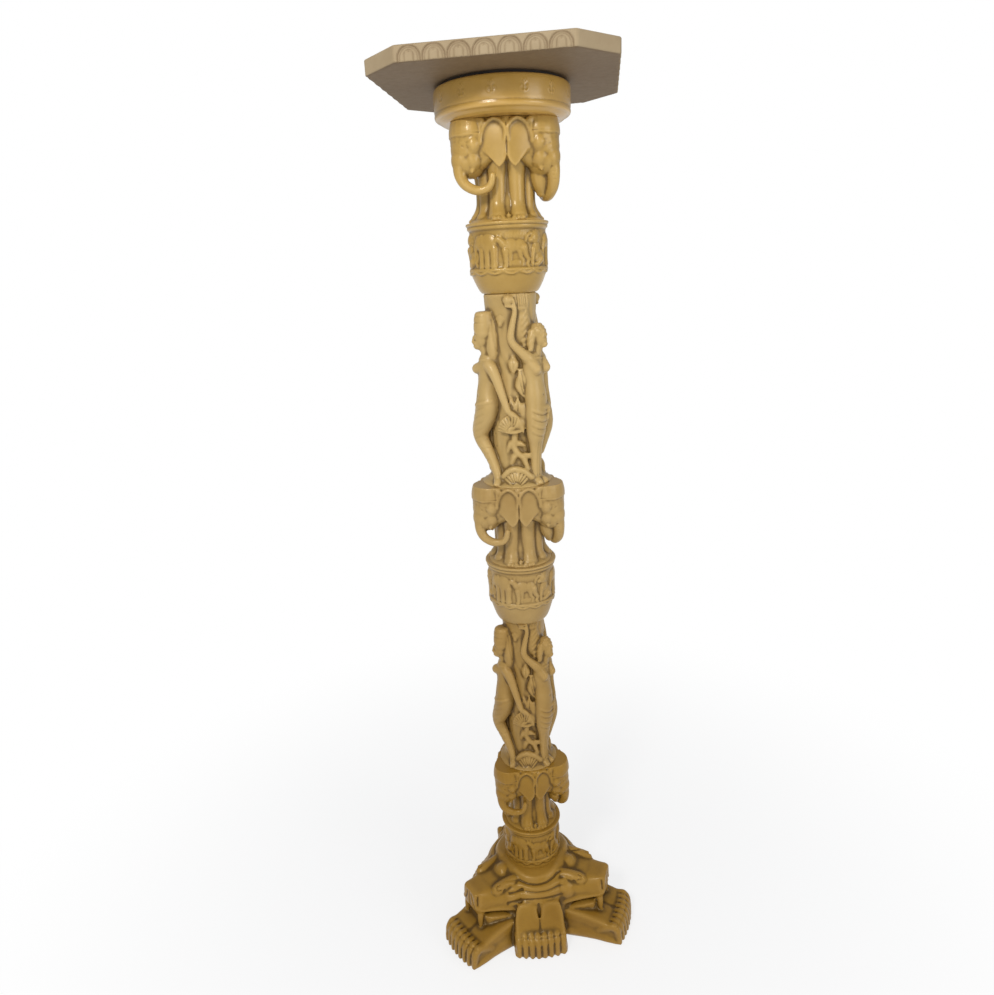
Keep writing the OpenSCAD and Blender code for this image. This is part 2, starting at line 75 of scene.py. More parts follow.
# Camera fitted to the photograph: place in millimetres, turns in degrees, clip in metres
view = {
    "place": (0.48, -1073.08, 1091.54),
    "yaw": -1.718,
    "pitch": 16.981,
    "roll": -2.829,
    "focalPixels": 746.602,
    "longSide": 995,
    "sensor": 36,
    "clip": (0.05, 50),
}


def makeCamera():
    yaw, pitch, roll = (math.radians(view[k]) for k in ("yaw", "pitch", "roll"))
    ahead = Vector((math.sin(yaw) * math.cos(pitch), math.cos(yaw) * math.cos(pitch), -math.sin(pitch)))
    side = Vector((math.cos(yaw), -math.sin(yaw), 0))
    up = side.cross(ahead)
    right = side * math.cos(roll) + up * math.sin(roll)
    top = up * math.cos(roll) - side * math.sin(roll)
    data = bpy.data.cameras.new("camera")
    data.sensor_width = view["sensor"]
    data.lens = view["focalPixels"] * view["sensor"] / view["longSide"]
    data.clip_start, data.clip_end = view["clip"]
    scene.camera = put("camera", data)
    turn = Matrix((right, top, -ahead)).transposed().to_4x4()
    scene.camera.matrix_world = Matrix.Translation(Vector(view["place"]) * mm) @ turn


makeCamera()
print("camera set")


# Shapes that the carving is put together from

def spin(angle):
    return Matrix.Rotation(math.radians(angle), 4, "Z")


def at(angle, *points):
    # Points given as out, across, up for a place on the round, as points of the casting
    c, s = math.cos(math.radians(angle)), math.sin(math.radians(angle))
    return [(x * c - y * s, x * s + y * c, z) for x, y, z in points]


def between(a, b, c, d, t):
    # Point at share t of the smooth curve from b to c
    bow, twist = 2 * a - 5 * b + 4 * c - d, 3 * b - a - 3 * c + d
    return 0.5 * (2 * b + (c - a) * t + bow * t ** 2 + twist * t ** 3)


def smoothPath(stations, step):
    # Stations joined by a smooth curve, with more of them where it is thin
    pts = [np.array(s, float) for s in stations]
    pts = [2 * pts[0] - pts[1]] + pts + [2 * pts[-1] - pts[-2]]
    made = []
    for a, b, c, d in zip(pts, pts[1:], pts[2:], pts[3:]):
        count = max(1, math.ceil(np.linalg.norm(c[:3] - b[:3]) / (step * max(min(b[3], c[3]), 1))))
        made += [between(a, b, c, d, k / count) for k in range(count)]
    return made + [pts[-2]]


def oval(centre, u, v, count):
    # Points round a centre, with half axes u and v
    turns = np.arange(count)[:, None] * math.tau / count
    return np.array(centre) + np.cos(turns) * np.array(v) - np.sin(turns) * np.array(u)


class Heap:     # closed shapes that overlap, to be melted into one casting

    roundEnd = [(0.45, 0.89), (0.8, 0.6), (0.97, 0.24)]     # share of the radius on and across
    finer = 4   # points of a loft from each one given

    def __init__(self):
        self.meshes = []

    def keep(self, bm):
        bmesh.ops.recalc_face_normals(bm, faces=bm.faces[:])
        self.meshes.append(asMesh("shape", bm))

    def skin(self, rounds):
        # Closed skin over rounds of points
        bm = bmesh.new()
        rows = [[bm.verts.new(co) for co in points] for points in rounds]
        for before, now in zip(rows, rows[1:]):
            for k in range(len(now)):
                bm.faces.new((before[k - 1], before[k], now[k], now[k - 1]))
        bm.faces.new(rows[0])
        bm.faces.new(rows[-1])
        self.keep(bm)

    def ball(self, where, size, turn=0, around=16):
        bm = bmesh.new()
        place = Matrix.Translation(where) @ spin(turn) @ Matrix.Diagonal((*size, 1))
        bmesh.ops.create_uvsphere(bm, u_segments=around, v_segments=around * 2 // 3, radius=1, matrix=place)
        self.keep(bm)

    def limb(self, stations, facing=None, flat=1, step=0.5, around=12):
        # Round-ended limb through stations (x, y, z, radius), flattened by flat towards facing
        path = smoothPath(stations, step)
        last = len(path) - 1
        rounds = []
        for i, p in enumerate(path):
            ahead = Vector((path[min(i + 1, last)] - path[max(i - 1, 0)])[:3]).normalized()
            if facing:
                out = Vector(facing)
            elif not rounds:
                out = ahead.orthogonal()
            out = (out - ahead * out.dot(ahead)).normalized()
            cross = ahead.cross(out)
            r = max(p[3], 0.3)
            ends = [(-push, grow) for push, grow in self.roundEnd[::-1] if i == 0] + [(0, 1)]
            ends += self.roundEnd if i == last else []
            for push, grow in ends:
                centre = Vector(p[:3]) + ahead * r * min(flat, 1) * push
                rounds.append(oval(centre, out * r * flat * grow, cross * r * grow, around))
        self.skin(rounds)

    def pair(self, stations, **shape):
        # The same limb on either side
        for side in sides:
            self.limb([(x, side * y, z, r) for x, y, z, r in stations], **shape)

    def lathe(self, profile, steps=96):
        # Closed profile of (radius, height) spun round the axis
        bm = bmesh.new()
        verts = [bm.verts.new((r, 0, z)) for r, z in profile]
        edges = [bm.edges.new(pair) for pair in zip(verts, verts[1:])]
        bmesh.ops.spin(bm, geom=verts + edges, cent=(0, 0, 0), axis=upward, angle=math.tau, steps=steps,
            use_merge=True)
        bmesh.ops.remove_doubles(bm, verts=bm.verts[:], dist=1e-4)
        self.keep(bm)

    def sheet(self, columns, rows, shape, thick):
        # Sheet whose point at (share across, share down) is given by shape, made thick
        bm = bmesh.new()
        bmesh.ops.create_grid(bm, x_segments=columns, y_segments=rows, size=0.5)
        for v in bm.verts:
            v.co = shape(v.co.x + 0.5, 0.5 - v.co.y)
        bm.normal_update()
        if sum(f.normal.x for f in bm.faces) < 0:
            bmesh.ops.reverse_faces(bm, faces=bm.faces[:])
        bmesh.ops.solidify(bm, geom=bm.faces[:], thickness=thick)
        self.keep(bm)

    def loft(self, sections):
        # Skin over sections, each a list of points round a closed outline, smoothed between them
        t = (np.arange(self.finer) / self.finer)[None, :, None]
        rounds = []
        for section in sections:
            p = np.array(section, float)[:, None, :]
            before, after, beyond = (np.roll(p, k, 0) for k in (1, -1, -2))
            rounds.append(between(before, p, after, beyond, t).reshape(-1, 3))
        self.skin(rounds)

    def take(self, other, *angles):
        for angle in angles:
            for mesh in other.meshes:
                twin = mesh.copy()
                twin.transform(spin(angle))
                self.meshes.append(twin)

    def bend(self, radius, angle, z, shrink):
        # Wraps shapes drawn flat as across, up, out round a wall of this radius
        for mesh in self.meshes:
            flat = pointsOf(mesh)
            a, r = math.radians(angle) + flat[:, 0] * shrink / radius, radius + flat[:, 2]
            bent = np.stack([r * np.cos(a), r * np.sin(a), z + flat[:, 1]], 1)
            mesh.vertices.foreach_set("co", bent.ravel())

    def melt(self, voxel):
        whole = bmesh.new()
        for mesh in self.meshes:
            whole.from_mesh(mesh)
            bpy.data.meshes.remove(mesh)
        rough = asMesh("rough", whole)
        lump = put("lump", rough)
        heat = lump.modifiers.new("heat", "REMESH")
        heat.mode = "VOXEL"
        heat.voxel_size = voxel
        mesh = bpy.data.meshes.new_from_object(lump.evaluated_get(bpy.context.evaluated_depsgraph_get()))
        bpy.data.objects.remove(lump)
        bpy.data.meshes.remove(rough)
        return mesh


class Clay:     # a melted casting as arrays of points, to be smoothed and carved

    # rounds of smoothing, and depth in millimetres of a full hollow
    fine = (5, 0.22)
    broad = (60, 1.6)
    close = (2.5, 2.2)  # degrees and millimetres round a place where its surface is looked for
    missing = 40        # radius where no surface is found

    def __init__(self, heap, voxel, height, smooth):
        self.mesh = heap.melt(voxel)
        self.height = height
        self.count = len(self.mesh.vertices)
        self.p = pointsOf(self.mesh)
        edges = np.empty(len(self.mesh.edges) * 2, np.int32)
        self.mesh.edges.foreach_get("vertices", edges)
        self.a, self.b = edges[::2], edges[1::2]
        self.near = np.bincount(edges, minlength=self.count)[:, None]
        self.p = self.softened(smooth)
        self.settle()

    def softened(self, rounds, weight=0.6):
        out = self.p.copy()
        a, b, count = self.a, self.b, self.count
        for _ in range(rounds):
            total = [np.bincount(a, out[b, i], count) + np.bincount(b, out[a, i], count) for i in range(3)]
            out += weight * (np.stack(total, 1) / self.near - out)
        return out

    def settle(self):
        # Gives the points back to the mesh and reads its new normals
        self.mesh.vertices.foreach_set("co", self.p.ravel())
        self.mesh.update()
        n = np.empty(self.count * 3, np.float32)
        self.mesh.vertex_normals.foreach_get("vector", n)
        self.n = n.reshape(-1, 3).astype(float)

    def push(self, amount):
        self.p += self.n * amount[:, None]

    def stroke(self, path, width, depth):
        # Line along a path, or a dab at one point, raised by depth or carved in where depth is below 0
        path = np.array(path if len(path) > 1 else path * 2, float)
        lo, hi = path.min(0) - 3 * width, path.max(0) + 3 * width
        pick = np.where(((self.p > lo) & (self.p < hi)).all(1))[0]
        q = self.p[pick]
        best = np.full(len(q), 1e9)
        for a, b in zip(path, path[1:]):
            d = b - a
            t = np.clip(((q - a) @ d) / max(d @ d, 1e-9), 0, 1)
            best = np.minimum(best, ((q - a - t[:, None] * d) ** 2).sum(1))
        self.p[pick] += self.n[pick] * (depth * np.exp(-best / width ** 2))[:, None]

    def scratch(self, path, width, depth):
        # Line that only gives angle and height, whose points are moved on to the surface first
        centre = []
        angles = np.degrees(np.arctan2(self.p[:, 1], self.p[:, 0]))
        reach = np.hypot(self.p[:, 0], self.p[:, 1])
        for angle, z in path:
            gap = (angles - angle + 180) % 360 - 180
            close = (np.abs(gap) < self.close[0]) & (np.abs(self.p[:, 2] - z) < self.close[1])
            centre += at(angle, (reach[close].max() if close.any() else self.missing, 0, z))
        self.stroke(centre, width, depth)

    def marks(self, angle, lines, mirrored=True, face=0, middle=(0, 0)):
        # Lines for a place on the round, as width, depth and points: out, across, up, or only degrees
        # and height. A face is turned, and moved to its middle, before that.
        for side in sides if mirrored else (1,):
            for width, depth, *points in lines:
                if len(points[0]) == 2:
                    self.scratch([(angle + side * a, z) for a, z in points], width, depth)
                else:
                    path = at(face, *[(x, side * y, z) for x, y, z in points])
                    path = at(angle, *[(x + middle[0], y + middle[1], z) for x, y, z in path])
                    self.stroke(path, width, depth)

    def finish(self, name):
        # Levels the ends and measures the hollows and high places, which the resin darkens with wash and
        # painted shade and lightens with rubbed wear and a painted highlight
        self.p[:, 2] = np.clip(self.p[:, 2], 0, self.height)
        self.settle()
        hollow = sum(np.clip(((self.softened(rounds) - self.p) * self.n).sum(1) / full, -1, 1) * 0.5
            for rounds, full in (self.fine, self.broad))
        layer = self.mesh.attributes.new("hollow", "FLOAT", "POINT")
        layer.data.foreach_set("value", hollow.astype(np.float32))
        self.mesh.polygons.foreach_set("use_smooth", np.ones(len(self.mesh.polygons), bool))
        self.mesh.update()
        print(name, "modelled with", len(self.mesh.polygons), "faces")
        return self.mesh


def placeCasting(mesh, name, node, look, scale=(1, 1, 1), turn=0):
    # Puts a finished carving where its CAD node stands
    mesh.name = name
    move = Matrix.Translation((0, 0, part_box(node)[0].z)) @ spin(turn)
    mesh.transform(move @ Matrix.Diagonal((*[s * mm for s in scale], 1)))
    mesh.materials.append(resin[look])
    piece = put(name, mesh)
    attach(piece, "top" if node == "top_slab" else "column")
    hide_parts(node)
    return piece


# Materials

def fill(tree, node, inputs):
    # Gives a node's inputs their values; a value that is a socket is linked
    for key, value in inputs.items():
        if isinstance(value, bpy.types.NodeSocket):
            tree.links.new(value, node.inputs[key])
        else:
            node.inputs[key].default_value = value


def addNode(tree, kind, output, inputs={}, **settings):
    node = tree.nodes.new("ShaderNode" + kind)
    for key, value in settings.items():
        setattr(node, key, value)
    fill(tree, node, inputs)
    return node.outputs[output]


def nodeMaterial(name):
    material = bpy.data.materials.new(name)
    material.use_nodes = True
    tree = material.node_tree
    return material, partial(addNode, tree), partial(fill, tree), tree.nodes["Principled BSDF"]


def noises(add, *kinds):
    place = add("TexCoord", "Object")
    return [add("TexNoise", "Fac", {"Vector": place, "Scale": scale, "Detail": detail, "Roughness": rough})
        for scale, detail, rough in kinds]


def blendColours(add, factor, a, b):
    a, b = (c if isinstance(c, bpy.types.NodeSocket) else (*c, 1) for c in (a, b))
    return add("Mix", "Result", {"Factor": factor, "A": a, "B": b}, data_type="RGBA")


def castResin(name, pale, deep, washAndShade, gloss, coat, sheen):
    # Cast resin in old ivory: cloudy colour, brown wash in the hollows that is partly antique finish and
    # partly painted shade, and lighter high places that are partly rubbed wear and partly a painted highlight
    material, add, plug, shader = nodeMaterial(name)
    cloud, grain, speck = noises(add, (14, 4, 0.6), (420, 3, 0.6), (95, 5, 0.75))
    hollow = add("Attribute", "Fac", attribute_name="hollow")
    spread = add("MapRange", "Result", {"Value": cloud, "From Min": 0.35, "From Max": 0.68})
    # painted shade: the measure of the hollows darkens them towards the wash colour, on top of the real
    # specks
    dirtAndShade = add("Math", "Value", {0: speck, 1: 0.35, 2: hollow}, operation="MULTIPLY_ADD")
    stainAndShade = add("MapRange", "Result", {"Value": dirtAndShade, "From Min": 0.2, "From Max": 0.85, "To Max": 0.85})
    washedAndShaded = blendColours(add, stainAndShade, blendColours(add, spread, pale, deep), washAndShade)
    # painted highlight: high places are lightened towards a paler colour, partly as rubbed wear
    rubAndHighlight = add("MapRange", "Result", {"Value": hollow, "From Min": -0.15, "From Max": -0.9, "To Max": 0.3})
    rubbedAndHighlit = blendColours(add, rubAndHighlight, washedAndShaded, [min(1, c * 1.35 + 0.03) for c in pale])
    rough = add("MapRange", "Result", {"Value": speck, "To Min": gloss - 0.07, "To Max": gloss + 0.1})
    relief = add("Math", "Value", {0: grain, 1: speck}, operation="ADD")
    bump = add("Bump", "Normal", {"Height": relief, "Strength": 0.18, "Distance": 0.0004})
    plug(shader, {"Base Color": rubbedAndHighlit, "Roughness": rough, "Normal": bump, "Coat Weight": coat,
        "Coat Roughness": 0.22, "Coat Tint": (*sheen, 1), "Specular Tint": (*sheen, 1),
        "Specular IOR Level": 0.36})
    return material


def plainStuff(name, pale, deep, size, rough, bumpDepth, metal=0):
    # Even stuff in two tones, for the rubber, felt and steel that hide inside
    material, add, plug, shader = nodeMaterial(name)
    blot, fine = noises(add, (size, 6, 0.7), (size * 9, 3, 0.6))
    shine = add("MapRange", "Result", {"Value": fine, "To Min": rough - 0.1, "To Max": min(1, rough + 0.12)})
    bump = add("Bump", "Normal", {"Height": fine, "Strength": 0.3, "Distance": bumpDepth})
    plug(shader, {"Base Color": blendColours(add, blot, pale, deep), "Roughness": shine, "Normal": bump,
        "Metallic": metal})
    return material


# Pale, deep and wash-and-shade colour, roughness, coat and sheen; the castings' tones step darker and browner
# from the collar down to the lion base, partly painted shade where the light falls off down the column
resinLooks = {
    "collarResin": ((0.56, 0.36, 0.1), (0.46, 0.28, 0.06), (0.12, 0.06, 0.012), 0.3, 0.6, (1, 0.93, 0.8)),
    "topResin": ((0.46, 0.305, 0.09), (0.38, 0.24, 0.06), (0.105, 0.058, 0.012), 0.3, 0.3, (1, 0.88, 0.66)),
    "shaftResin": ((0.46, 0.32, 0.125), (0.39, 0.26, 0.09), (0.12, 0.07, 0.02), 0.36, 0.12, (1, 0.88, 0.68)),
    "midResin": ((0.39, 0.26, 0.095), (0.32, 0.2, 0.065), (0.09, 0.05, 0.014), 0.38, 0.1, (1, 0.85, 0.6)),
    "duskResin": ((0.34, 0.212, 0.064), (0.28, 0.165, 0.042), (0.07, 0.036, 0.009), 0.4, 0.08,
        (1, 0.82, 0.55)),
    "lowResin": ((0.285, 0.158, 0.024), (0.225, 0.117, 0.014), (0.05, 0.024, 0.004), 0.36, 0.1,
        (1, 0.78, 0.42)),
    "slabResin": ((0.36, 0.275, 0.165), (0.3, 0.22, 0.125), (0.16, 0.1, 0.05), 0.62, 0.0, (1, 0.92, 0.8)),
}
resin = {name: castResin(name, *look) for name, look in resinLooks.items()}

# Both tones, size of the blots, roughness, depth of the grain and metal, then the CAD nodes that wear it
hiddenStuff = {
    "seatRubber": (((0.03, 0.022, 0.016), (0.012, 0.009, 0.007), 60, 0.75, 0.0004), ["seat_ring"]),
    "padFelt": (((0.05, 0.04, 0.03), (0.02, 0.016, 0.012), 160, 0.88, 0.0006), ["floor_pads"]),
    "plainSteel": (((0.56, 0.55, 0.53), (0.38, 0.37, 0.36), 45, 0.34, 0.0001, 1),
        ["pivot_bush", "pivot_pin", "tie_rod", "top_washer", "top_nut", "bottom_washer", "bottom_nut"]),
}
for name, (look, nodes) in hiddenStuff.items():
    stuff = plainStuff(name, *look)
    for node in nodes:
        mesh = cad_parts[node].data
        mesh.materials.clear()
        mesh.materials.append(stuff)
print("materials ready, CAD nodes dressed")

# Stage: pale floor and backdrop in one sweep, soft lamps
stageSizes = {"floor": 12.0, "near": 0.2, "far": 1.1, "world": 0.5, "glow": 0.75}


def makeStage():
    bm = bmesh.new()
    bmesh.ops.create_grid(bm, x_segments=1, y_segments=1, size=stageSizes["floor"])
    floor = put("floor", asMesh("floor", bm))
    material, add, plug, shader = nodeMaterial("paleFloor")
    plug(shader, {"Base Color": (0.86, 0.86, 0.87, 1), "Roughness": 0.9})
    glow = add("Emission", "Emission", {"Strength": 1.0, "Color": (1, 1, 1, 1)})
    # the floor turns into the backdrop away from the column
    away = add("VectorMath", "Value", {0: add("TexCoord", "Object")}, operation="LENGTH")
    fade = add("MapRange", "Result", {"Value": away, "From Min": stageSizes["near"],
        "From Max": stageSizes["far"], "To Min": stageSizes["glow"]}, interpolation_type="SMOOTHSTEP")
    seen = add("Math", "Value", {0: add("LightPath", "Is Camera Ray"),
        1: add("LightPath", "Is Glossy Ray")}, operation="MAXIMUM")
    part = add("Math", "Value", {0: seen, 1: fade}, operation="MULTIPLY")
    blend = add("MixShader", "Shader", {"Fac": part, 1: shader.outputs["BSDF"], 2: glow})
    plug(material.node_tree.nodes["Material Output"], {"Surface": blend})
    floor.data.materials.append(material)

    world = bpy.data.worlds.new("studio")
    world.use_nodes = True
    scene.world = world
    tree = world.node_tree
    tree.nodes.clear()
    add = partial(addNode, tree)
    seen = add("Math", "Value", {0: add("LightPath", "Is Camera Ray"),
        1: add("LightPath", "Is Transmission Ray")}, operation="MAXIMUM")
    soft = add("Background", "Background", {"Strength": stageSizes["world"], "Color": (0.95, 0.97, 1, 1)})
    white = add("Background", "Background", {"Strength": 1.0, "Color": (1, 1, 1, 1)})
    blend = add("MixShader", "Shader", {"Fac": seen, 1: soft, 2: white})
    fill(tree, tree.nodes.new("ShaderNodeOutputWorld"), {"Surface": blend})


def lamp(name, place, target, size, power, colour):
    data = bpy.data.lights.new(name, "AREA")
    data.shape = "DISK"
    data.size = size
    data.energy = power
    data.color = colour
    obj = put(name, data)
    obj.location = place
    obj.rotation_euler = (Vector(target) - Vector(place)).to_track_quat("-Z", "Y").to_euler()


makeStage()
lamp("key", (-0.7, -1.7, 2.1), (0, 0, 0.95), 0.5, 26, (1, 0.98, 0.95))
lamp("fill", (1.9, -1.4, 1.3), (0, 0, 0.7), 1.2, 14, (1, 0.99, 0.97))
lamp("front", (-0.3, -2.4, 1.0), (0, 0, 0.2), 1.2, 6, (1, 0.98, 0.95))
print("stage and lamps ready")

scene.view_settings.view_transform = "Standard"

# Ring of three elephants, modelled 121 high with foreheads 77 from the axis
elephantSizes = {
    "height": 121,
    "voxel": 1.22,
    "core": [(0, 0), (50, 0), (49, 1.5), (44, 4.5), (39, 9), (35.5, 18), (33, 34), (33, 58), (36.5, 68),
        (44, 74), (50, 79), (54, 86), (54.5, 97), (55, 121), (0, 121)],
    "head": [((45, 0, 103), (32, 30, 40)), ((50, 0, 88), (27.5, 25, 28)), ((55, 0, 75), (24, 19, 22))],
    "trunk": [(48, 0, 92, 20), (58, 0.5, 78, 18.5), (67, 1.2, 66, 12), (69.6, 3, 55, 8.2),
        (66.2, 7.5, 45.5, 6.8), (57.5, 14, 39, 6.2), (49.8, 20.5, 38, 5.5), (44, 26.5, 40.5, 5),
        (41, 30, 46.5, 4.6), (39.5, 31.5, 55, 4.2)],
    "lip": [(51, 2, 68, 10), (51.5, 4, 61.5, 6), (51, 5, 56.5, 3.2), (50.5, 5, 53, 1.4)],
    "tusk": [(55, 12, 69, 5), (58.5, 14.5, 63.5, 3.6), (60, 15.5, 59.5, 1.8)],
    "hind": [(31, 0, 72, 13), (29, 0, 44, 11), (29.5, 0, 14, 11), (33, 0, 3, 13)],
    "foreleg": [(32, 11.5, 90, 15.5), (30, 11.6, 74, 14.6), (27.4, 11.6, 60, 12.2), (26.2, 11.6, 44, 11.4),
        (26.2, 12, 22, 11.4), (29.4, 12.6, 10, 12.4), (33, 13, 3, 13.6)],
    # rim of the ear as its share across and down, and radius
    "rim": [(0.06, 0.46, 1), (0.02, 0.3, 1.5), (0.04, 0.16, 1.8), (0.16, 0.05, 2), (0.5, 0, 2.1),
        (0.84, 0.05, 2), (0.96, 0.16, 1.8), (0.98, 0.3, 1.5), (0.97, 0.45, 1)],
    # slit of the eye, its lid, fold between cheek and trunk, mouth; then the toes of the forelegs
    "headLines": [(1.1, -0.9, (17, 87), (14, 87.8), (11, 90)), (1.6, 0.7, (18, 91), (14, 92), (10, 94)),
        (2.4, -0.6, (66, 16, 79), (70, 12, 74), (72, 9, 68), (71, 9, 62)),
        (1.2, -1.0, (52, 18, 68), (58, 16, 65), (62, 12, 64))],
    "toeLines": [(1, -0.9, (50, 13.2 + t, 1), (48.5, 13.2 + t, 7)) for t in (-3, 3)],
}


def earPoint(side):
    # Leaf-shaped ear: a deep arch above, a slanted outer edge below, and a point near the groove.
    # Its rows are share down, inner edge and outer edge.
    rows = np.array([(0, 8.5, 21), (0.05, 4.5, 25.5), (0.14, 1.6, 28.4), (0.28, 0.8, 30.6),
        (0.46, 0.6, 32.4), (0.54, 0.6, 32), (0.7, 0.8, 26), (0.82, 1.4, 20.4), (0.92, 4.6, 15.4),
        (1, 10, 11)])

    def point(across, down):
        inner, outer = np.interp(down, rows[:, 0], rows[:, 1]), np.interp(down, rows[:, 0], rows[:, 2])
        y = inner + (outer - inner) * across
        x = 57.6 - 0.0088 * y * y - 1.5 * math.sin(math.pi * across) * (1 - down)
        x += 1.2 * math.sin(math.pi * down) - 2.2 * down
        return Vector((x, side * y, 119 - 56 * down))
    return point


def strapPoint(side):
    # Strap of the head cloth that hangs outside the ear
    def point(across, down):
        y = 31 + 10.5 * across + 1.5 * down
        return Vector((61 - 0.0079 * y * y, side * y, 121 - 30 * down))
    return point


def elephantRing():
    s = elephantSizes
    head = Heap()
    for where, size in s["head"]:
        head.ball(where, size, around=24)
    for side in sides:
        head.ball((55, side * 12, 76), (13, 11, 14), turn=side * 20)
        head.ball((57, side * 18, 92), (11, 9, 12), turn=side * 35)
    head.pair(s["tusk"])
    # jaw running back under the cheek to the forelegs
    head.pair([(46, 9, 73, 11.5), (42, 17, 77, 11), (38, 25, 81, 10)])
    head.limb(s["lip"], sideways, 0.8)
    head.limb(s["hind"], step=0.4, around=18)
    low = Heap()
    low.limb([(x - 1, y, z - max(0, 62 - z) * 0.32, r + max(0, 9 - r) * 0.4) for x, y, z, r in s["trunk"]],
        sideways, 0.95, 0.35, 18)
    # this trunk lies closer to the legs, and its curl is closed
    low.limb([(45, 3, 70, 13), (47.5, 4, 56, 13), (48, 6, 46, 11.5), (48, 10, 36, 8)], sideways, step=0.4)
    high = Heap()
    high.limb(s["trunk"], sideways, 0.95, 0.35, 18)
    gap = Heap()
    for side in sides:
        for k in (-1, 0, 1):
            gap.ball((47.4 - 2.4 * abs(k), side * 13.2 + k * 6, 3), (3, 3, 3.4))
        ear = earPoint(side)
        gap.sheet(11, 30, ear, 5)
        gap.limb([(*(ear(u, v) + Vector((0.6, 0, 0))), r) for u, v, r in s["rim"]], step=0.6)
        gap.sheet(8, 18, strapPoint(side), 6)
        # shoulder under the ear's slanted edge
        gap.ball(at(side * 39, (43.5, 0, 90))[0], (16.5, 15, 24), turn=side * 39, around=20)
        gap.ball((49.5, side * 30, 116), (4.5, 4.5, 5))
    gap.pair(s["foreleg"], step=0.4, around=18)
    gap.limb([(43, 0, 0, 3), (43.5, 0, 5, 2.4), (42, 0, 11, 1)], outward, 0.7)
    gap.ball((54.5, 0, 114), (3.5, 5, 8))
    heap = Heap()
    heap.lathe(s["core"])
    turns = [k * sector for k in range(3)]
    heap.take(head, *[firstHead + k for k in turns])
    heap.take(low, firstHead)
    heap.take(high, firstHead + sector, firstHead + 2 * sector)
    heap.take(gap, *[firstGap + k for k in turns])
    clay = Clay(heap, s["voxel"], s["height"], smooth=4)
    p = clay.p
    for k in turns:
        head, gap = firstHead + k, firstGap + k
        # cloth over the forehead, with a scalloped lower edge and a line above it
        angle = (np.degrees(np.arctan2(p[:, 1], p[:, 0])) - head + 180) % 360 - 180
        reach = np.hypot(p[:, 0], p[:, 1])
        edge = 101 + 1.8 * np.abs(np.cos(np.radians(angle * 7)))
        cloth = np.clip((27 - np.abs(angle)) / 6, 0, 1) * np.clip((reach - 50) / 4, 0, 1)
        clay.push(1.2 * cloth / (1 + np.exp(-(p[:, 2] - edge) * 2.5)))
        band = [(44 + 33 * math.cos(a), 31 * math.sin(a), 104.5) for a in np.radians(range(-70, 71, 10))]
        clay.stroke(at(head, *band), 0.9, -0.6)
        clay.marks(head, s["headLines"])
        clay.marks(gap, s["toeLines"])
        for z in (67, 62, 57, 52.5, 48):
            x = 77 - max(0, 60 - z) * 0.25
            clay.stroke(at(head, (x - 6, -9, z + 1), (x, 0, z), (x - 6, 9, z + 1)), 0.9, -0.35)
        clay.stroke(at(gap, (57, 0, 112), (57.5, 0, 70)), 1.2, -1.6)
    return clay.finish("elephants")


ringMesh = elephantRing()
rings = [("upperElephants", "upper_elephants", "topResin", 1.0, 121, 3.6),
    ("middleElephants", "middle_elephants", "midResin", 74 / 77, 124, 0.5),
    ("lowerElephants", "lower_elephants", "lowResin", 68 / 77, 121, 9.8)]
for name, node, look, across, tall, turn in rings:
    stretch = (across, across, tall / elephantSizes["height"])
    placeCasting(ringMesh.copy(), name, node, look, stretch, turn)
bpy.data.meshes.remove(ringMesh)

# Drum with its animal frieze; sizes are those of the three CAD drums
drumSizes = {
    "voxel": 0.95,
    "frieze": 49,
    "rim": 5,
    "drawn": 52,        # wall radius that the animals are drawn for
    "drums": [("upperDrum", "upper_drum", "topResin", 91, 56.2, 38, 3.6),
        ("middleDrum", "middle_drum", "midResin", 97, 54.1, 38, 0.5),
        ("lowerDrum", "lower_drum", "lowResin", 83, 50, 49, 9.8)],
}


def deer():
    # Standing animal with a curled tail, a mane of leaves over it and grass under it
    a = Heap()
    a.ball((-4, 26.5, 0), (13, 9.5, 4.4), around=20)
    a.ball((9, 26, 0), (10, 9, 4.4), around=20)
    a.limb([(-11, 28, 0, 6), (-16, 33, 0.5, 4.6), (-20, 35, 1, 4), (-24, 32, 1, 2.8)], upward, 0.8)
    a.limb([(-19, 37, 1, 1.8), (-20.5, 41, 1, 1.2)])
    a.limb([(-15.5, 37, 1, 1.8), (-15, 41, 1, 1.2)])
    a.limb([(-10, 21, 0.5, 5), (-9.5, 12, 0.5, 3.6), (-9.5, 4, 0.5, 3), (-10.5, 1, 0.5, 3.4)])
    a.limb([(-4, 20, 0, 4), (-4, 12, 0, 2.6), (-4.5, 3, 0, 2.4)])
    a.limb([(14, 24, 0.5, 6), (17, 15, 0.5, 4), (20.5, 9, 0.5, 3), (19, 3, 0.5, 2.6), (20.5, 1, 0.5, 2.8)])
    a.limb([(9, 20, 0, 4.4), (10.5, 12, 0, 2.8), (13, 8, 0, 2.4), (12, 2, 0, 2.2)])
    a.limb([(17, 31, 0, 2.4), (19, 37, 0.8, 2.4), (24, 41, 0.8, 2.3), (29, 39, 0.8, 2.2),
        (29.5, 34, 0.8, 2), (25.5, 33, 0.8, 1.6)])
    for k in range(8):
        x = -9 + 3.6 * k
        a.limb([(x, 37, 0, 1.9), (x + 0.8, 41, 0.6, 1.9), (x + 2.6, 45, 0, 1.3)])
    for k in range(-3, 4):
        a.limb([(3 + k * 0.6, 1, 0, 1.6), (3 + k * 1.7, 6, 0.5, 1.6), (3 + k * 2.8, 11 - abs(k), 0, 1)])
    return a


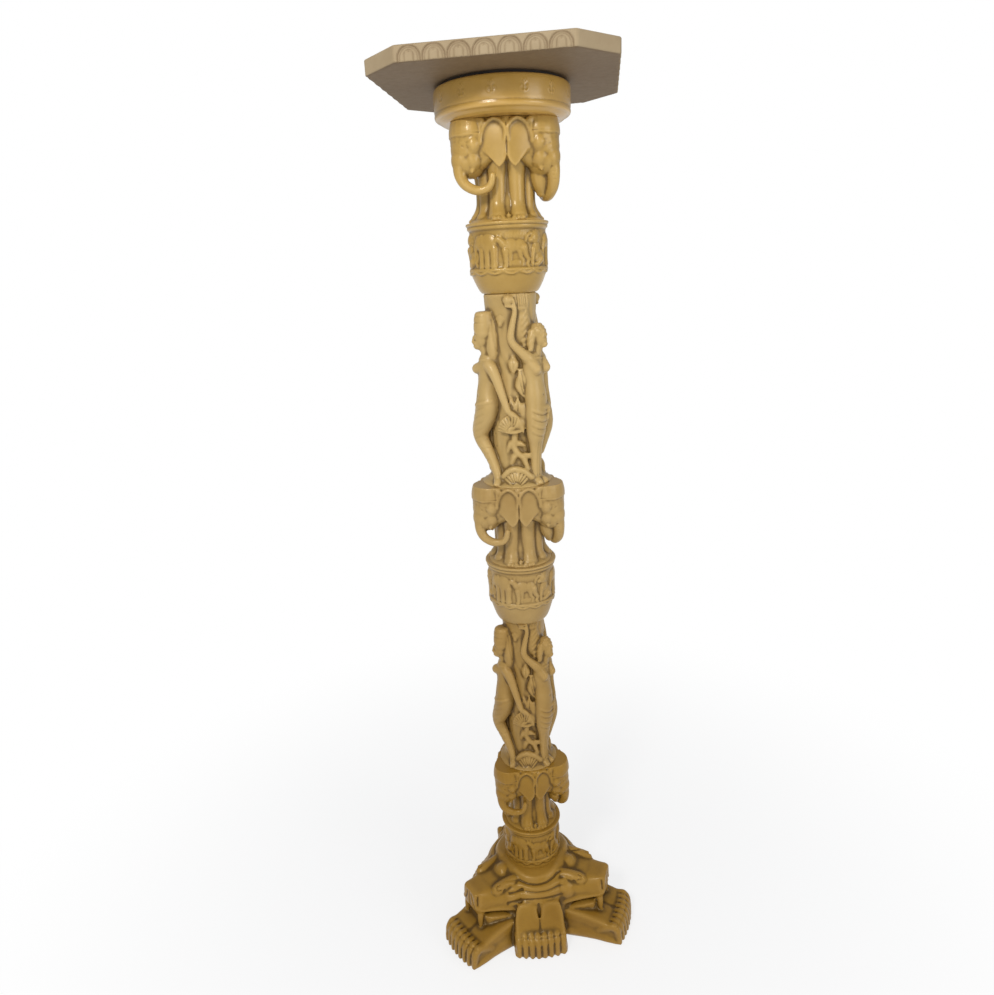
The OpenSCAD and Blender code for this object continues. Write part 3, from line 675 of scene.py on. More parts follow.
def youngElephant():
    a = Heap()
    a.ball((2, 30, 0), (15, 14, 4.6), around=20)
    a.ball((-12, 32, 0.5), (9, 10, 4.8), around=20)
    for x, r in ((-8, 4.8), (1, 4.6), (10.5, 5)):
        a.limb([(x, 24, 0, r + 1), (x, 10, 0.4, r), (x, 2, 0.4, r + 0.6)], upward, 0.8)
    a.limb([(-17, 30, 0.6, 4.4), (-20, 20, 0.6, 3.4), (-20.5, 10, 0.6, 3), (-18, 3, 0.6, 2.4)])
    a.limb([(-7, 40, 1.6, 3.6), (-5, 31, 2, 5), (-7.5, 23, 1.6, 2.4)], upward, 0.6)
    for k in range(5):
        a.limb([(-4 + 4.4 * k, 43, 0, 1.8), (-3 + 4.4 * k, 46, 0.4, 1.3)])
    return a


def seatedLion():
    a = Heap()
    a.ball((4, 12, 0), (11.5, 11, 4.4), around=20)
    a.ball((-2, 23, 0), (8.5, 11, 4.4), around=20)
    a.ball((-4, 36, 0.8), (8.5, 8.5, 4.4), around=20)
    a.ball((-10.5, 33.5, 1.4), (4.4, 3.8, 3.2))
    for k in range(7):
        ang = math.radians(-60 + 30 * k)
        a.ball((-2.5 + 7.5 * math.cos(ang), 35.5 + 8.5 * math.sin(ang), 0.4), (2.8, 2.8, 2.6))
    a.limb([(-6.5, 22, 0.8, 3.8), (-8.5, 11, 0.8, 3), (-9, 2.4, 0.8, 3)])
    a.limb([(6, 9, 0.8, 6), (0, 3.6, 1, 4), (-4, 2.4, 1, 2.8)])
    a.limb([(14, 6, 0, 2.4), (17.5, 15, 0.4, 2), (15, 24, 0.4, 1.9), (17, 31, 0.4, 2.6)])
    return a


def drum(name, node, look, height, rim, foot, turn):
    s = drumSizes
    wall = rim - 4.5
    low = height - 2 * s["rim"] - s["frieze"]
    heap = Heap()
    # wall's radius beside the frieze, and how far the rim's steps stand in from it
    frieze = [(0.6, -5), (1.8, -4), (2.4, -1.4), (1.8, -0.2), (0, 1), (-0.8, 8), (-0.4, 40), (0, 49)]
    edge = [(2, 50.4), (1.6, 53.4), (2.4, 54.4), (0.4, 55.4), (0, 57.4)]
    bowl = [(foot + (wall - foot) * t ** 0.72, (low - 6) * t) for t in (0.02, 0.08, 0.2, 0.36, 0.56, 0.78, 1)]
    profile = [(0, 0), (foot, 0)] + bowl + [(wall + x, low + z) for x, z in frieze]
    profile += [(rim - x, low + z) for x, z in edge] + [(rim - 0.6, height), (0, height)]
    heap.lathe(profile, steps=128)
    for k in range(3):
        middle = firstGap + k * sector
        for animal, beside in ((deer(), 4), (youngElephant(), -37), (seatedLion(), 45)):
            animal.bend(wall - 2, middle + beside, low + 1.4, wall / s["drawn"])
            heap.meshes += animal.meshes
        for j in range(-2, 3):
            # round scallops that hang under the frieze
            arc = []
            for t in (-1, -0.6, -0.2, 0.2, 0.6, 1):
                hang = (wall + 1.2 - 0.6 * abs(t), 0, low - 2.6 - 4 * math.cos(t * math.pi / 2))
                arc.append((*at(middle + j * 24 + 12 * t, hang)[0], 1.15))
            heap.limb(arc, step=2)
    clay = Clay(heap, s["voxel"], height, smooth=3)
    for j in range(15):
        arc = [(firstGap + j * 24 + 9 * t, low - 2 - 1.6 * (t == 0)) for t in (-1, 0, 1)]
        clay.stroke([at(a, (wall + 1.2, 0, z))[0] for a, z in arc], 1.2, -0.7)
    clay.stroke([at(a, (rim - 1.6, 0, low + 54.2))[0] for a in range(0, 361, 4)], 0.8, -0.5)
    placeCasting(clay.finish(name), name, node, look, turn=turn)


for values in drumSizes["drums"]:
    drum(*values)

# Shaft of three figures round a tree trunk; figures are carved 268 high round a trunk of radius 35
shaftSizes = {
    "voxel": 1.42,
    "carved": 268,
    "drawn": 35,
    "turn": -3,
    "shafts": [("upperFigures", "upper_figures", "shaftResin", 35),
        ("lowerFigures", "lower_figures", "duskResin", 32)],
    # lines on a face: nose and its tip; closed eye, lids and brow; mouth, lips and hair line
    "noseLines": [(1.5, 1.7, (11.5, 0, 212), (12.6, 0, 207), (12.8, 0, 204.6)), (1.7, 0.8, (12.6, 0, 204.8))],
    "eyeLines": [(2, -1.3, (11, 2, 208), (10.4, 4.6, 208)),
        (1.3, 0.9, (10.2, 2.6, 208.6), (9.6, 4.6, 208.2), (8.4, 6.2, 208.8)),
        (0.8, -0.7, (10.8, 2.4, 207.2), (10, 4.6, 206.8), (8.8, 6.2, 207.4)),
        (1.1, 0.8, (11.4, 1.6, 211.8), (10.6, 4.4, 213), (8.8, 6.6, 212))],
    "mouthLines": [(0.8, -0.9, (10.8, -3, 200.6), (11.8, 0, 200.2), (10.8, 3, 200.6)),
        (1, 0.8, (11, -2, 202), (12, 0, 201.8), (11, 2, 202)),
        (1, 0.8, (10.8, -1.8, 198.8), (11.6, 0, 198.6), (10.8, 1.8, 198.8)),
        (1.4, -1, (9, -9, 214), (11, -4, 217), (11.5, 0, 218), (11, 4, 217), (9, 9, 214))],
    "restingBody": [(2, 0.9, (58.5, -19, 166)), (2, 0.9, (56.5, 6, 166.5)), (2.6, -1.1, (56, -4, 130)),
        (2, -0.5, (53, -4, 160), (53.5, -4, 150), (55, -4, 140))],
    "reachingBody": [(2, 0.9, (56.5, -17.5, 166.5)), (2, 0.9, (57.5, 8, 166.5)), (2.6, -1.1, (56, -7, 130)),
        (2, -0.5, (53, -4, 160), (53.5, -4, 150), (55, -4, 140))],
}


def restingFigure():
    # Figure near profile with a tall cap and the knee bent outwards
    f = Heap()
    f.ball((45, 0, 211), (12, 10.5, 15), turn=-22, around=20)
    f.ball((49.5, -3.5, 205), (8.5, 8, 12), turn=-22, around=20)
    f.ball((52, -5, 198.5), (5, 5, 5))
    f.skin([oval((44.5 - 0.08 * (z - 212), 0.5, z), (r, 0, 0), (0, r, 0), 24)
        for z, r in ((212, 11.5), (216, 13), (226, 13.6), (236, 13.4), (242, 12.6), (244.5, 11), (245.5, 8))])
    # veil behind the head
    f.ball((35, 3, 214), (11, 14, 32), around=20)
    f.ball((35.5, 8, 203), (9, 11, 30), around=20)
    f.limb([(44, 0, 200, 7.5), (41, 1, 188, 7.5), (38, 1, 180, 10)])
    # one curve from the chest over the hip and the bent knee to the ankle
    f.limb([(36, -14, 176, 9), (37.5, 0, 180, 10), (32, 7, 178, 8.5)])
    f.limb([(37.5, 0, 178, 15.5), (38.5, -1, 163, 16), (39.5, -2, 147, 15.4), (41, -2, 132, 17),
        (41.5, -1, 119, 19), (43, -5, 104, 18.4), (46, -11, 89, 16), (48, -16, 76, 13.6),
        (47, -15, 64, 11.6), (43.5, -7, 50, 10), (40.5, 2, 35, 8.4), (38.5, 10, 20, 7.2), (38, 14, 9, 6.4)],
        outward, 0.88, 0.3, 22)
    f.limb([(41, 6, 172, 9), (45, -4, 169, 9), (48.5, -15, 166.5, 8)], step=0.3, around=18)
    f.ball((44, -3, 134), (11, 14, 14), around=20)
    f.limb([(38, 13, 8, 6.6), (42, 19, 6, 5.6), (47, 23, 3.4, 4)], upward, 0.8)
    # cloth that falls behind the bent leg
    f.limb([(33, -22, 92, 8), (33, -18, 56, 7), (32, -12, 20, 7)])
    return f


def reachingFigure():
    # Figure turned three quarters, standing straight under draped cloth
    f = Heap()
    f.ball((45.5, 0.5, 208), (11, 10.5, 14), turn=12, around=20)
    f.ball((42, 0, 213.5), (12, 12.5, 14), turn=12, around=20)
    f.ball((52, 2, 198), (5, 5.4, 5))
    f.limb([(40, -10, 214, 6), (39.5, -13, 203, 5.6), (40, -14.5, 193, 4)])
    f.limb([(40, 12, 214, 5), (39, 14, 202, 5), (38, 14, 190, 4)])
    f.limb([(43.5, -1, 199, 7.5), (41, -3, 188, 8), (38, -4, 180, 11)])
    f.limb([(36, -16, 179, 9), (38, -5, 182, 10), (36, 13, 179, 9.5)])
    f.limb([(36.5, -6, 178, 17), (38, -7, 164, 18), (39, -7, 148, 17), (40.5, -7, 132, 18.6),
        (41, -7, 118, 19.4), (41, -8, 102, 19.6), (41, -8.5, 86, 18.6), (40.5, -9, 72, 15.5),
        (39.5, -8, 58, 12), (38.5, -7, 40, 10), (38, -7, 22, 9.4), (38, -7, 8, 10)], outward, 0.74, 0.3, 24)
    f.limb([(40, -16, 174, 9), (45, -14.5, 168, 9), (47.5, -14.5, 166, 8)], step=0.3, around=18)
    f.limb([(41, 8, 174, 9.4), (46, 7, 168, 9.4), (48.5, 7, 166, 8.4)], step=0.3, around=18)
    f.ball((43, -7, 131), (11.5, 17, 15), around=20)
    f.limb([(38, -11, 8, 7), (44, -12.5, 5, 6.4), (49, -14, 3.6, 5.4)], upward, 0.8)
    f.limb([(38, -2, 8, 7), (44, -0.5, 5, 6.4), (49, 1, 3.6, 5.4)], upward, 0.8)
    # belt with its knot
    f.limb([(44, -22.5, 116.5, 1.8), (50, -17.5, 114.5, 2.2), (54, -9, 112, 2.4), (54.5, 4, 111.5, 2.4),
        (47, 16, 115, 2.2)], step=0.4)
    f.ball((54.5, 3, 109.5), (3.6, 4.4, 5))
    f.limb([(54.5, 2.4, 107, 3.4), (54, 2, 97, 3), (52, 1, 88, 2)])
    # other arm, and the sash that falls under it
    f.limb([(35, 18, 177, 9), (35, 24, 158, 7.4), (36, 25, 138, 6.6), (39, 24, 122, 6.4), (42, 21, 112, 7)],
        step=0.35)
    f.limb([(39, 19, 118, 8.5), (43, 20, 98, 9), (43.5, 19, 80, 8.6), (40, 14, 62, 7.6), (37, 8, 44, 6)],
        outward, 0.85, 0.35)
    return f


def gapCarving(flower):
    # Ball in a raised hand, leaves, stem, shell and sometimes a flower between two figures
    g = Heap()
    # arm of the figure to the right, raised with its elbow over the gap
    g.limb([(30, 29, 174, 10), (35, 22, 182, 8.4), (38.6, 13, 191, 6.4), (40.2, 4, 201, 5.6),
        (40.4, 0.8, 211, 5.4), (40, 4, 228, 4.6), (39.8, 7.4, 242, 3.7), (40, 7.4, 250, 3.6)], step=0.35)
    g.ball((39.2, -1.5, 259.5), (6.8, 6.8, 6.8), around=20)
    g.limb([(40.5, 6, 251, 2.6), (41.5, 0, 250.8, 2.3), (41, -5, 251.5, 1.9)])
    g.limb([(40, 7.5, 252, 2.6), (40.5, 7, 258, 2.2), (40, 5, 263, 1.6)])
    # leaves beside the arm and under the drum
    leaves = [((34, 3, 184, 1.6), (35.6, 3, 173, 6.8), (35, 3, 161, 1.6)),
        ((34, 12, 166, 2.4), (35.6, 14, 152, 6), (35, 15, 138, 1.8)),
        ((34, 8, 154, 2), (35.2, 10.5, 142, 5.4), (35, 15, 128, 1.8)),
        ((37, 3, 103, 3), (36.2, 0, 114, 4.6), (34, -4, 127, 1.2)),
        ((37, 6, 102, 3), (36.4, 7, 114, 4.6), (34.4, 7, 128, 1.2)),
        ((37, 9, 100, 3), (36, 14, 110, 4.4), (34, 19, 119, 1.2))]
    g.ball(at(34, (31.5, 0, 222))[0], (6.4, 12, 32), turn=34, around=20)
    g.ball(at(40, (32.5, 0, 204))[0], (6.5, 10, 20), turn=40, around=20)
    g.ball(at(30, (31.5, 0, 256))[0], (6.4, 13, 15), turn=30, around=20)
    g.ball((35.5, 14, 102), (6, 8, 18), around=20)
    for leaf in leaves:
        g.limb([(x + 0.6, y, z, r * 1.1) for x, y, z, r in leaf], outward, 0.55, 0.35, 14)
    # stem with pointed leaves, and the shell at the foot
    g.limb([(34, 1, 80, 5), (33.5, 0, 68, 4.6), (33, -1, 57, 4.4), (33.5, 4, 47, 4.4), (33, 12, 40, 4.2),
        (32, 15, 31, 4), (32, 18, 22, 3)], step=0.4)
    for leaf in (((34, 1, 67, 2.8), (34.4, -6, 60, 4), (32.5, -11, 49, 1.2)),
            ((34, 1, 62, 2.8), (34.4, 8, 61, 4), (32, 16, 56, 1.2)),
            ((33.5, 4, 49, 2.8), (34.6, -1, 42, 4), (33.6, -5, 32, 1.2)),
            ((33.5, 10, 44, 2.8), (32.6, 18, 43, 4), (29.5, 25, 37, 1.2))):
        g.limb(leaf, outward, 0.7, 0.35, 12)
    g.limb([(33, -18, 10, 4.4), (36, -13, 19, 4.4), (37.5, -4, 24, 4.4), (38, 4, 24, 4.4),
        (36.5, 13, 20, 4.4), (34, 22, 11, 4.4)])
    g.ball((36.5, 1, 2), (7, 16, 20), around=20)
    for k in range(-4, 5):
        a = math.radians(90 + k * 17)
        g.limb([(41, 1, 0, 2.2), (44 - abs(k) * 0.5, 1 + 8 * math.cos(a), 2 + 8 * math.sin(a), 2.7),
            (42 - abs(k) * 0.8, 1 + 16 * math.cos(a), 2 + 16 * math.sin(a), 2.2)], around=10)
    if flower:
        # long arm of the figure to the left, holding the flower
        g.limb([(28, -32, 173, 9), (33, -27, 167, 8.2), (37, -21.5, 154, 7.2), (40, -16, 137, 6.2),
            (42, -10, 118, 5.2), (43, -7, 109, 4.6)], step=0.35)
        g.limb([(43, -7, 109, 4), (43.8, 1, 102.5, 4.8), (43, 7, 94, 4.4), (41.5, 11.5, 85, 3),
            (40, 14, 78, 2)], outward, 0.75)
        g.limb([(43.5, -1, 105, 3), (44.5, 3.5, 96, 2.6), (44, 5, 88, 2)])
        g.ball((36.8, -6, 88), (4.5, 15, 12), around=20)
        g.ball((38.5, 6, 92), (6, 11, 11), around=20)
        for k in range(9):
            a = math.radians(70 + k * 14)
            g.limb([(41.5, -2, 82, 2.2), (43, -2 + 9 * math.cos(a), 82 + 9 * math.sin(a), 2.7),
                (40.5 - 0.4 * k, -2 + 19 * math.cos(a), 82 + 20 * math.sin(a), 2.6)], around=10)
        g.limb([(37, -19, 84, 2.2), (41.5, -10, 80, 2.6), (42.5, 0, 79, 2.8), (41.5, 8, 80, 2.4),
            (39, 15, 84, 1.2)])
    else:
        g.ball((36, 0, 92), (6, 10, 12))
        for k in range(-3, 4):
            a = math.radians(90 + 22 * k)
            g.limb([(38, 0, 84, 2), (42, 8 * math.cos(a), 86 + 9 * math.sin(a), 2.8),
                (39, 14 * math.cos(a), 88 + 15 * math.sin(a), 2)], around=10)
    return g


def figureShaft():
    s = shaftSizes
    heap = Heap()
    r = s["drawn"]
    trunk = [(17, 0), (14, 2), (9, 5), (3, 12), (-1, 22), (-2, 40), (-2, 150), (-0.5, 230), (1.5, 262),
        (2, s["carved"])]
    heap.lathe([(0, 0)] + [(r + x, z) for x, z in trunk] + [(0, s["carved"])])
    rest, reach = firstHead + 2 * sector, [firstHead, firstHead + sector]
    heap.take(restingFigure(), rest)
    heap.take(reachingFigure(), *reach)
    heap.take(gapCarving(True), firstGap)
    heap.take(gapCarving(False), firstGap + sector)
    clay = Clay(heap, s["voxel"], s["carved"], smooth=5)
    p = clay.p
    # faint bark on the trunk between the figures
    radius = np.hypot(p[:, 0], p[:, 1])
    angle = np.arctan2(p[:, 1], p[:, 0])
    up = p[:, 2]
    wave = np.sin(angle * 17 + up * 0.05 + 2 * np.sin(up * 0.07)) * np.sin(up * 0.09 + angle * 3)
    clay.push(np.where(radius < r + 1.5, 0.25 * wave, 0) * (np.abs(clay.n[:, 2]) < 0.7))
    for who in [rest] + reach:
        face = {"face": -22, "middle": (46, -1)} if who == rest else {"face": 12, "middle": (45.5, 0.5)}
        clay.marks(who, s["noseLines"], mirrored=False, **face)
        clay.marks(who, s["eyeLines"], **face)
        clay.marks(who, s["mouthLines"], mirrored=False, **face)
        if who != rest:
            curls = []
            for k in range(16):
                a, z = math.radians(-100 + 40 * (k % 6) + 20 * (k // 6)), 217.5 + 4.4 * (k // 6)
                wide = 12.4 * math.sqrt(max(0, 1 - ((z - 213.5) / 15) ** 2))
                curls.append((2, 1.5, (wide * math.cos(a) - 3, wide * math.sin(a), z)))
            clay.marks(who, curls, mirrored=False, **face)
        # necklace, nipples and navel
        clay.scratch([(who + a, 181 - 0.004 * (20 - abs(a)) ** 2) for a in range(-18, 19, 4)], 1.2, 0.8)
        clay.marks(who, s["restingBody" if who == rest else "reachingBody"], mirrored=False)
    for who in reach:
        for z in (105, 95, 84, 74):
            swag = [(who + a, z + 0.014 * (a + 8) ** 2) for a in range(-30, 13, 5)]
            clay.scratch(swag, 2, 0.4)
            clay.scratch([(a, q - 3.8) for a, q in swag], 1.4, -0.6)
        for a in (-16, -11, -6):
            clay.scratch([(who + a, z) for z in range(62, 12, -8)], 1.4, -0.7)
        for a in (18, 23, 28):
            clay.scratch([(who + a * (1 - 0.004 * (112 - z)), z) for z in range(116, 62, -8)], 1.3, -0.7)
    for k in range(5):
        fold = [(rest + a - k, 116 - k * 10 - 0.4 * (14 - a)) for a in range(11 - k, -24 + 2 * k, -5)]
        clay.scratch(fold, 1.8, -0.45)
    for k in range(4):
        clay.scratch([(rest + a, 54 - k * 9 + 0.25 * a) for a in range(-14, 7, 5)], 1.3, -0.5)
    clay.scratch([(rest + a, 124 - 0.22 * (24 - a)) for a in range(24, -27, -4)], 2, 1.3)
    clay.scratch([(rest + 22 + 0.2 * (236 - z), z) for z in range(234, 186, -6)], 2, -0.8)
    for z in (239, 231):
        clay.scratch([(rest + a, z) for a in range(-16, 17, 4)], 1.1, -0.7)
    # veins of the leaves, leaves fanned behind the arm, petals of the flower and ribs of the shell
    veins = [(4, 182, 4, 164), (19, 164, 23, 140), (15, 152, 22, 132), (-4, 122, 3, 106), (11, 122, 9, 106)]
    veins += [(a, 267, a + 2, 250) for a in (17, 22, 27, 32, 37)]
    sprigs = [(40, z, 26, z - 8) for z in range(244, 200, -8)]
    sprigs += [(-22 + 4 * t, 238 - 1.6 * abs(t), -22 + 1.2 * t, 227) for t in (-2, -1, 0, 1, 2)]
    for gap in (firstGap, firstGap + sector):
        for lines, wide, depth in ((veins, 1.2, -1), (sprigs, 2, 0.7)):
            for a, z, b, low in lines:
                clay.scratch(list(zip(np.linspace(gap + a, gap + b, 5), np.linspace(z, low, 5))), wide, depth)
    fans = [(firstGap, -2, 82, range(68, 190, 15), 19), (firstGap, 1, 1, range(22, 160, 17), 19),
        (firstGap + sector, 0, 84, range(25, 160, 22), 15), (firstGap + sector, 1, 1, range(22, 160, 17), 19)]
    for gap, y, z, spread, end in fans:
        for a in np.radians(spread):
            rib = [(y + d * math.cos(a), z + d * math.sin(a)) for d in np.linspace(6, end, 5)]
            clay.scratch([(gap + math.degrees(across / 42), up) for across, up in rib], 1.2, -1.5)
    return clay.finish("figures")


shaftMesh = figureShaft()
for name, node, look, trunk in shaftSizes["shafts"]:
    across = trunk / shaftSizes["drawn"]
    shaft = placeCasting(shaftMesh.copy(), name, node, look, (across, across, 1), shaftSizes["turn"])
    # the lower shaft is cut off under its drum
    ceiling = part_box(node)[1].z
    for v in shaft.data.vertices:
        v.co.z = min(v.co.z, ceiling)
bpy.data.meshes.remove(shaftMesh)

# Lion base; the sizes are those of the CAD casting
baseSizes = {
    "voxel": 1.84,
    "turn": 9.5,
    # heads look a little aside from their paws, as in the photo
    "headTurns": (2, 0, -5),
    "headPaws": 172,
    "gapPaws": 119,
    "gapTurn": -5,
    "toe": 10.6,
    "dome": [(0, 0), (83, 0), (86, 20), (86, 58), (84.5, 74), (82, 87), (77, 97), (70, 105), (62, 112),
        (56, 116.5), (50, 118), (0, 118)],
    # lion's face: x, then half widths and heights of the top, its edge, the cheek, and the lip
    "upper": [(44, 22, 108, 40, 103, 53, 90, 56, 74, 50, 54),
        (66, 21, 107, 36, 102.5, 47, 91, 50, 76, 45, 59),
        (84, 17, 104.5, 29, 101, 38.5, 91, 41, 78, 38, 63),
        (100, 14, 102.5, 23.5, 99.5, 31, 91, 33.5, 80, 31, 65),
        (115, 14, 103, 21, 100, 26, 91, 28, 81, 25, 67),
        (127, 14, 104.5, 19, 101.5, 22.5, 91, 23.5, 82, 21, 69),
        (132, 12, 103, 16.5, 99.5, 18.5, 91, 19, 82, 17, 71)],
    "lower": [(50, 42, 58, 50, 50, 54, 32, 57, 4), (80, 37, 55, 43, 49, 47, 32, 52, 4),
        (100, 29, 55, 35, 49, 40, 34, 47, 4), (113, 20, 54, 27, 49, 34, 36, 43, 4),
        (120, 11, 51, 18, 47, 26, 38, 37, 6)],
    "ceiling": 300,
    # folds of skin between the heads: lowest and highest point, first and last angle, width, depth
    "folds": [(106, 113, -43, 34, 2.2, -3.4), (113, 118, -42, 34, 4.2, 1.6), (101, 106, -36, 38, 3.6, 1.6),
        (96.5, 99, -30, 30, 1.6, -1.3), (92, 92, -30, 26, 4, 1.3), (87, 84, -30, 24, 1.6, -1.6),
        (81, 79, -24, 20, 3.2, 0.9)],
    # nostril, lip, cheek, and corner of the mouth
    "faceLines": [(2.8, -4, (127, 21.5, 99), (129, 21, 92), (129, 20.5, 84)),
        (1.8, -2.2, (131, 6, 98), (132.5, 8, 88), (132, 13, 78), (130, 17, 70)),
        (2, 1.1, (96, 35, 72), (110, 30.5, 73), (122, 26, 74), (129, 20, 76)),
        (2.6, -3, (84, 40, 60), (92, 38, 60.5), (104, 33, 61))],
    # legs above the paws: out, half width in toes, height
    "headLeg": [(60, 2.9, 55), (80, 2.6, 52), (104, 2.25, 47), (126, 2.02, 41), (142, 2, 37),
        (154, 1.9, 32), (162, 1.8, 20)],
    "gapLeg": [(56, 1.2, 82), (82, 1.3, 81.5), (87, 1.66, 77), (91, 1.84, 67), (96, 1.9, 54),
        (101, 1.95, 42), (112, 1.9, 22)],
}


def ringOf(section):
    # Closed outline from half widths and heights listed from the top to the underside
    x = section[0]
    pairs = list(zip(section[1::2], section[2::2]))
    return [(x, y, z) for y, z in pairs] + [(x, -y, z) for y, z in reversed(pairs)]


def eyeCurl(reach, *angles):
    # Points of the curl round an eye, on the slope between the lion's side and top
    for a in np.radians(angles):
        yield (91 + reach * math.cos(a), 30 - 0.72 * reach * math.sin(a), 105 + 0.7 * reach * math.sin(a))


def lionHead():
    h = Heap()
    h.loft([ringOf(s) for s in baseSizes["upper"]])
    h.loft([ringOf(s) for s in baseSizes["lower"]])
    h.ball((84, 0, 60), (28, 22, 10))
    h.ball((102, 0, 56), (15, 9, 5))
    # crown of the head, and the brows that start beside it and end in a curl
    h.ball((64, 0, 104), (13, 14, 13), around=24)
    h.ball((60, 0, 100), (22, 28, 12), around=24)
    h.pair([(46, 29, 101, 9), (62, 27, 102.5, 9), (76, 26, 102.5, 9), (88, 25, 100.5, 9)], step=0.3,
        around=20)
    # fang at the corner of the muzzle, and a tooth behind it
    h.pair([(122, 19, 72, 6.4), (124.5, 20.5, 58, 5.4), (125.5, 21, 44, 3.8), (125.5, 21, 28, 1.6)])
    h.pair([(114, 17, 50, 2.8), (116, 17.5, 60, 1.2)])
    for side in sides:
        h.ball((90.5, side * 25.5, 100), (10, 8, 9), around=20)
        # cheek
        h.ball((58, side * 35, 82), (28, 17, 22), around=20)
    return h


def pawPair(reach, leg):
    # Two paws side by side with eight toes
    w = baseSizes["toe"]
    h = Heap()
    for k in range(8):
        place = k - 3.5
        y = place * w
        tip = reach - 0.4 * place * place
        h.limb([(tip - 40, y, 20, 7), (tip - 24, y, 29, 6.6), (tip - 14, y, 31.5, 6.4),
            (tip - 7.5, y, 25, 5.8), (tip - 5.4, y, 15, 5.2), (tip - 4, y, 6, 4.6), (tip - 3, y, 0, 3.8)],
            step=0.35, around=14)
        h.limb([(tip - 7, y, 27, 4), (tip - 3.4, y, 19, 3), (tip - 2.2, y, 10, 2.2), (tip - 1.2, y, 1, 1.2)])
        h.ball((tip - 14, y, 35), (4.6, 4.6, 4))
    arch = [(-1, 18), (-0.97, 8), (-0.8, 1), (0.8, 1), (0.97, 8), (1, 18)]
    for y in (-2 * w, 2 * w):
        h.loft([[(x, y + w * a * wide, z - drop) for wide, drop in arch]
            + [(x, y + w * a, 0), (x, y - w * a, 0)] for x, a, z in leg])
    return h


def lionBase():
    s = baseSizes
    heap = Heap()
    heap.lathe(s["dome"])
    w = s["toe"]
    heads = [firstHead + sector * k for k in range(3)]
    faces = [head + turn for head, turn in zip(heads, s["headTurns"])]
    gaps = [firstGap + sector * k for k in range(3)]
    fronts = [gap + s["gapTurn"] for gap in gaps]
    heap.take(lionHead(), *faces)
    heap.take(pawPair(s["headPaws"], s["headLeg"]), *heads)
    heap.take(pawPair(s["gapPaws"], s["gapLeg"]), *fronts)
    clay = Clay(heap, s["voxel"], s["ceiling"], smooth=6)
    for gap, front in zip(gaps, fronts):
        for low, high, first, last, width, depth in s["folds"]:
            turns = np.linspace(first, last, 13)
            bow = (turns - (first + last) / 2) / (last - first) * 2
            clay.scratch([(gap + a, low + (high - low) * b * b) for a, b in zip(turns, bow)], width, depth)
        # dark slots at one end of the folds, and the groove between the paws
        for z, rise in ((96.5, 2.5), (79.5, 4)):
            clay.scratch([(gap - 37, z), (gap - 31, z + rise * 0.5), (gap - 25, z + rise)], 2.6, -4.4)
        clay.scratch([(front, z) for z in range(79, 42, -4)], 1.5, -1.2)
    for head in faces:
        # curl round the eye, open towards the nose
        clay.marks(head, [(1.5, -2.8, *eyeCurl(5, 130, 90, 50, 10, -30, -70, -110)),
            (2.2, -1.6, *eyeCurl(10.5, 20, -20, -60, -100, -140)), (2.4, 0.8, *eyeCurl(1, 0))])
        clay.marks(head, s["faceLines"])
        clay.stroke(at(head, (132, 0, 100), (133, 0, 86), (132, 0, 72)), 2, -1.8)
    paws = [(s["headPaws"], head) for head in heads] + [(s["gapPaws"], front) for front in fronts]
    for reach, facing in paws:
        for j in range(8):
            y = (j - 3.5) * w
            tip = reach - 0.4 * (j - 3.5) ** 2
            if j < 7:
                path = [(tip - back, y + w / 2, z) for back, z in ((20, 35), (10, 33), (2, 20), (1, 2))]
                clay.stroke(at(facing, *path), 1.7, -2.2)
            knuckle = [(tip - 8.5, y - 3, 33), (tip - 8, y, 33.6), (tip - 8.5, y + 3, 33)]
            clay.stroke(at(facing, *knuckle), 1.2, -1)
    return clay.finish("lionBase")


placeCasting(lionBase(), "lionBase", "lion_base", "lowResin", turn=baseSizes["turn"])

# Octagonal slab, with petals in double lines along its four long edges; sizes are those of the CAD slab
slabSizes = {
    "half": 150,
    "thick": 18,
    "cut": 48,
    "turn": -6.7,
    "petals": 7,
    "corner": 7,
    # petal lines: half width, height, depth, width of the line
    "arches": [(12.9, 16, 1.5, 0.9), (10.4, 14, 1.0, 0.75), (5.2, 11.6, 0.9, 0.8)],
}


def petalDepth(along, up):
    s = slabSizes
    pitch = (2 * (s["half"] - s["cut"]) - 6) / s["petals"]
    middle = round(along / pitch)
    if abs(middle) > s["petals"] // 2:
        return 0
    u = along - middle * pitch
    depth = 0
    for half, tall, deep, wide in s["arches"]:
        crown = tall - half
        gap = abs(math.hypot(u, up - crown) - half) if up > crown else abs(abs(u) - half)
        depth += deep * math.exp(-(gap / wide) ** 2)
    # swelling of the tongue and the dent at its head
    depth -= 0.7 * max(0, 1 - (u / 5.4) ** 2) * min(1, max(0, (13 - up) / 4))
    depth += 1.3 * math.exp(-(u * u + (up - 9.8) ** 2) / 2.2)
    return max(0, depth + 0.4)


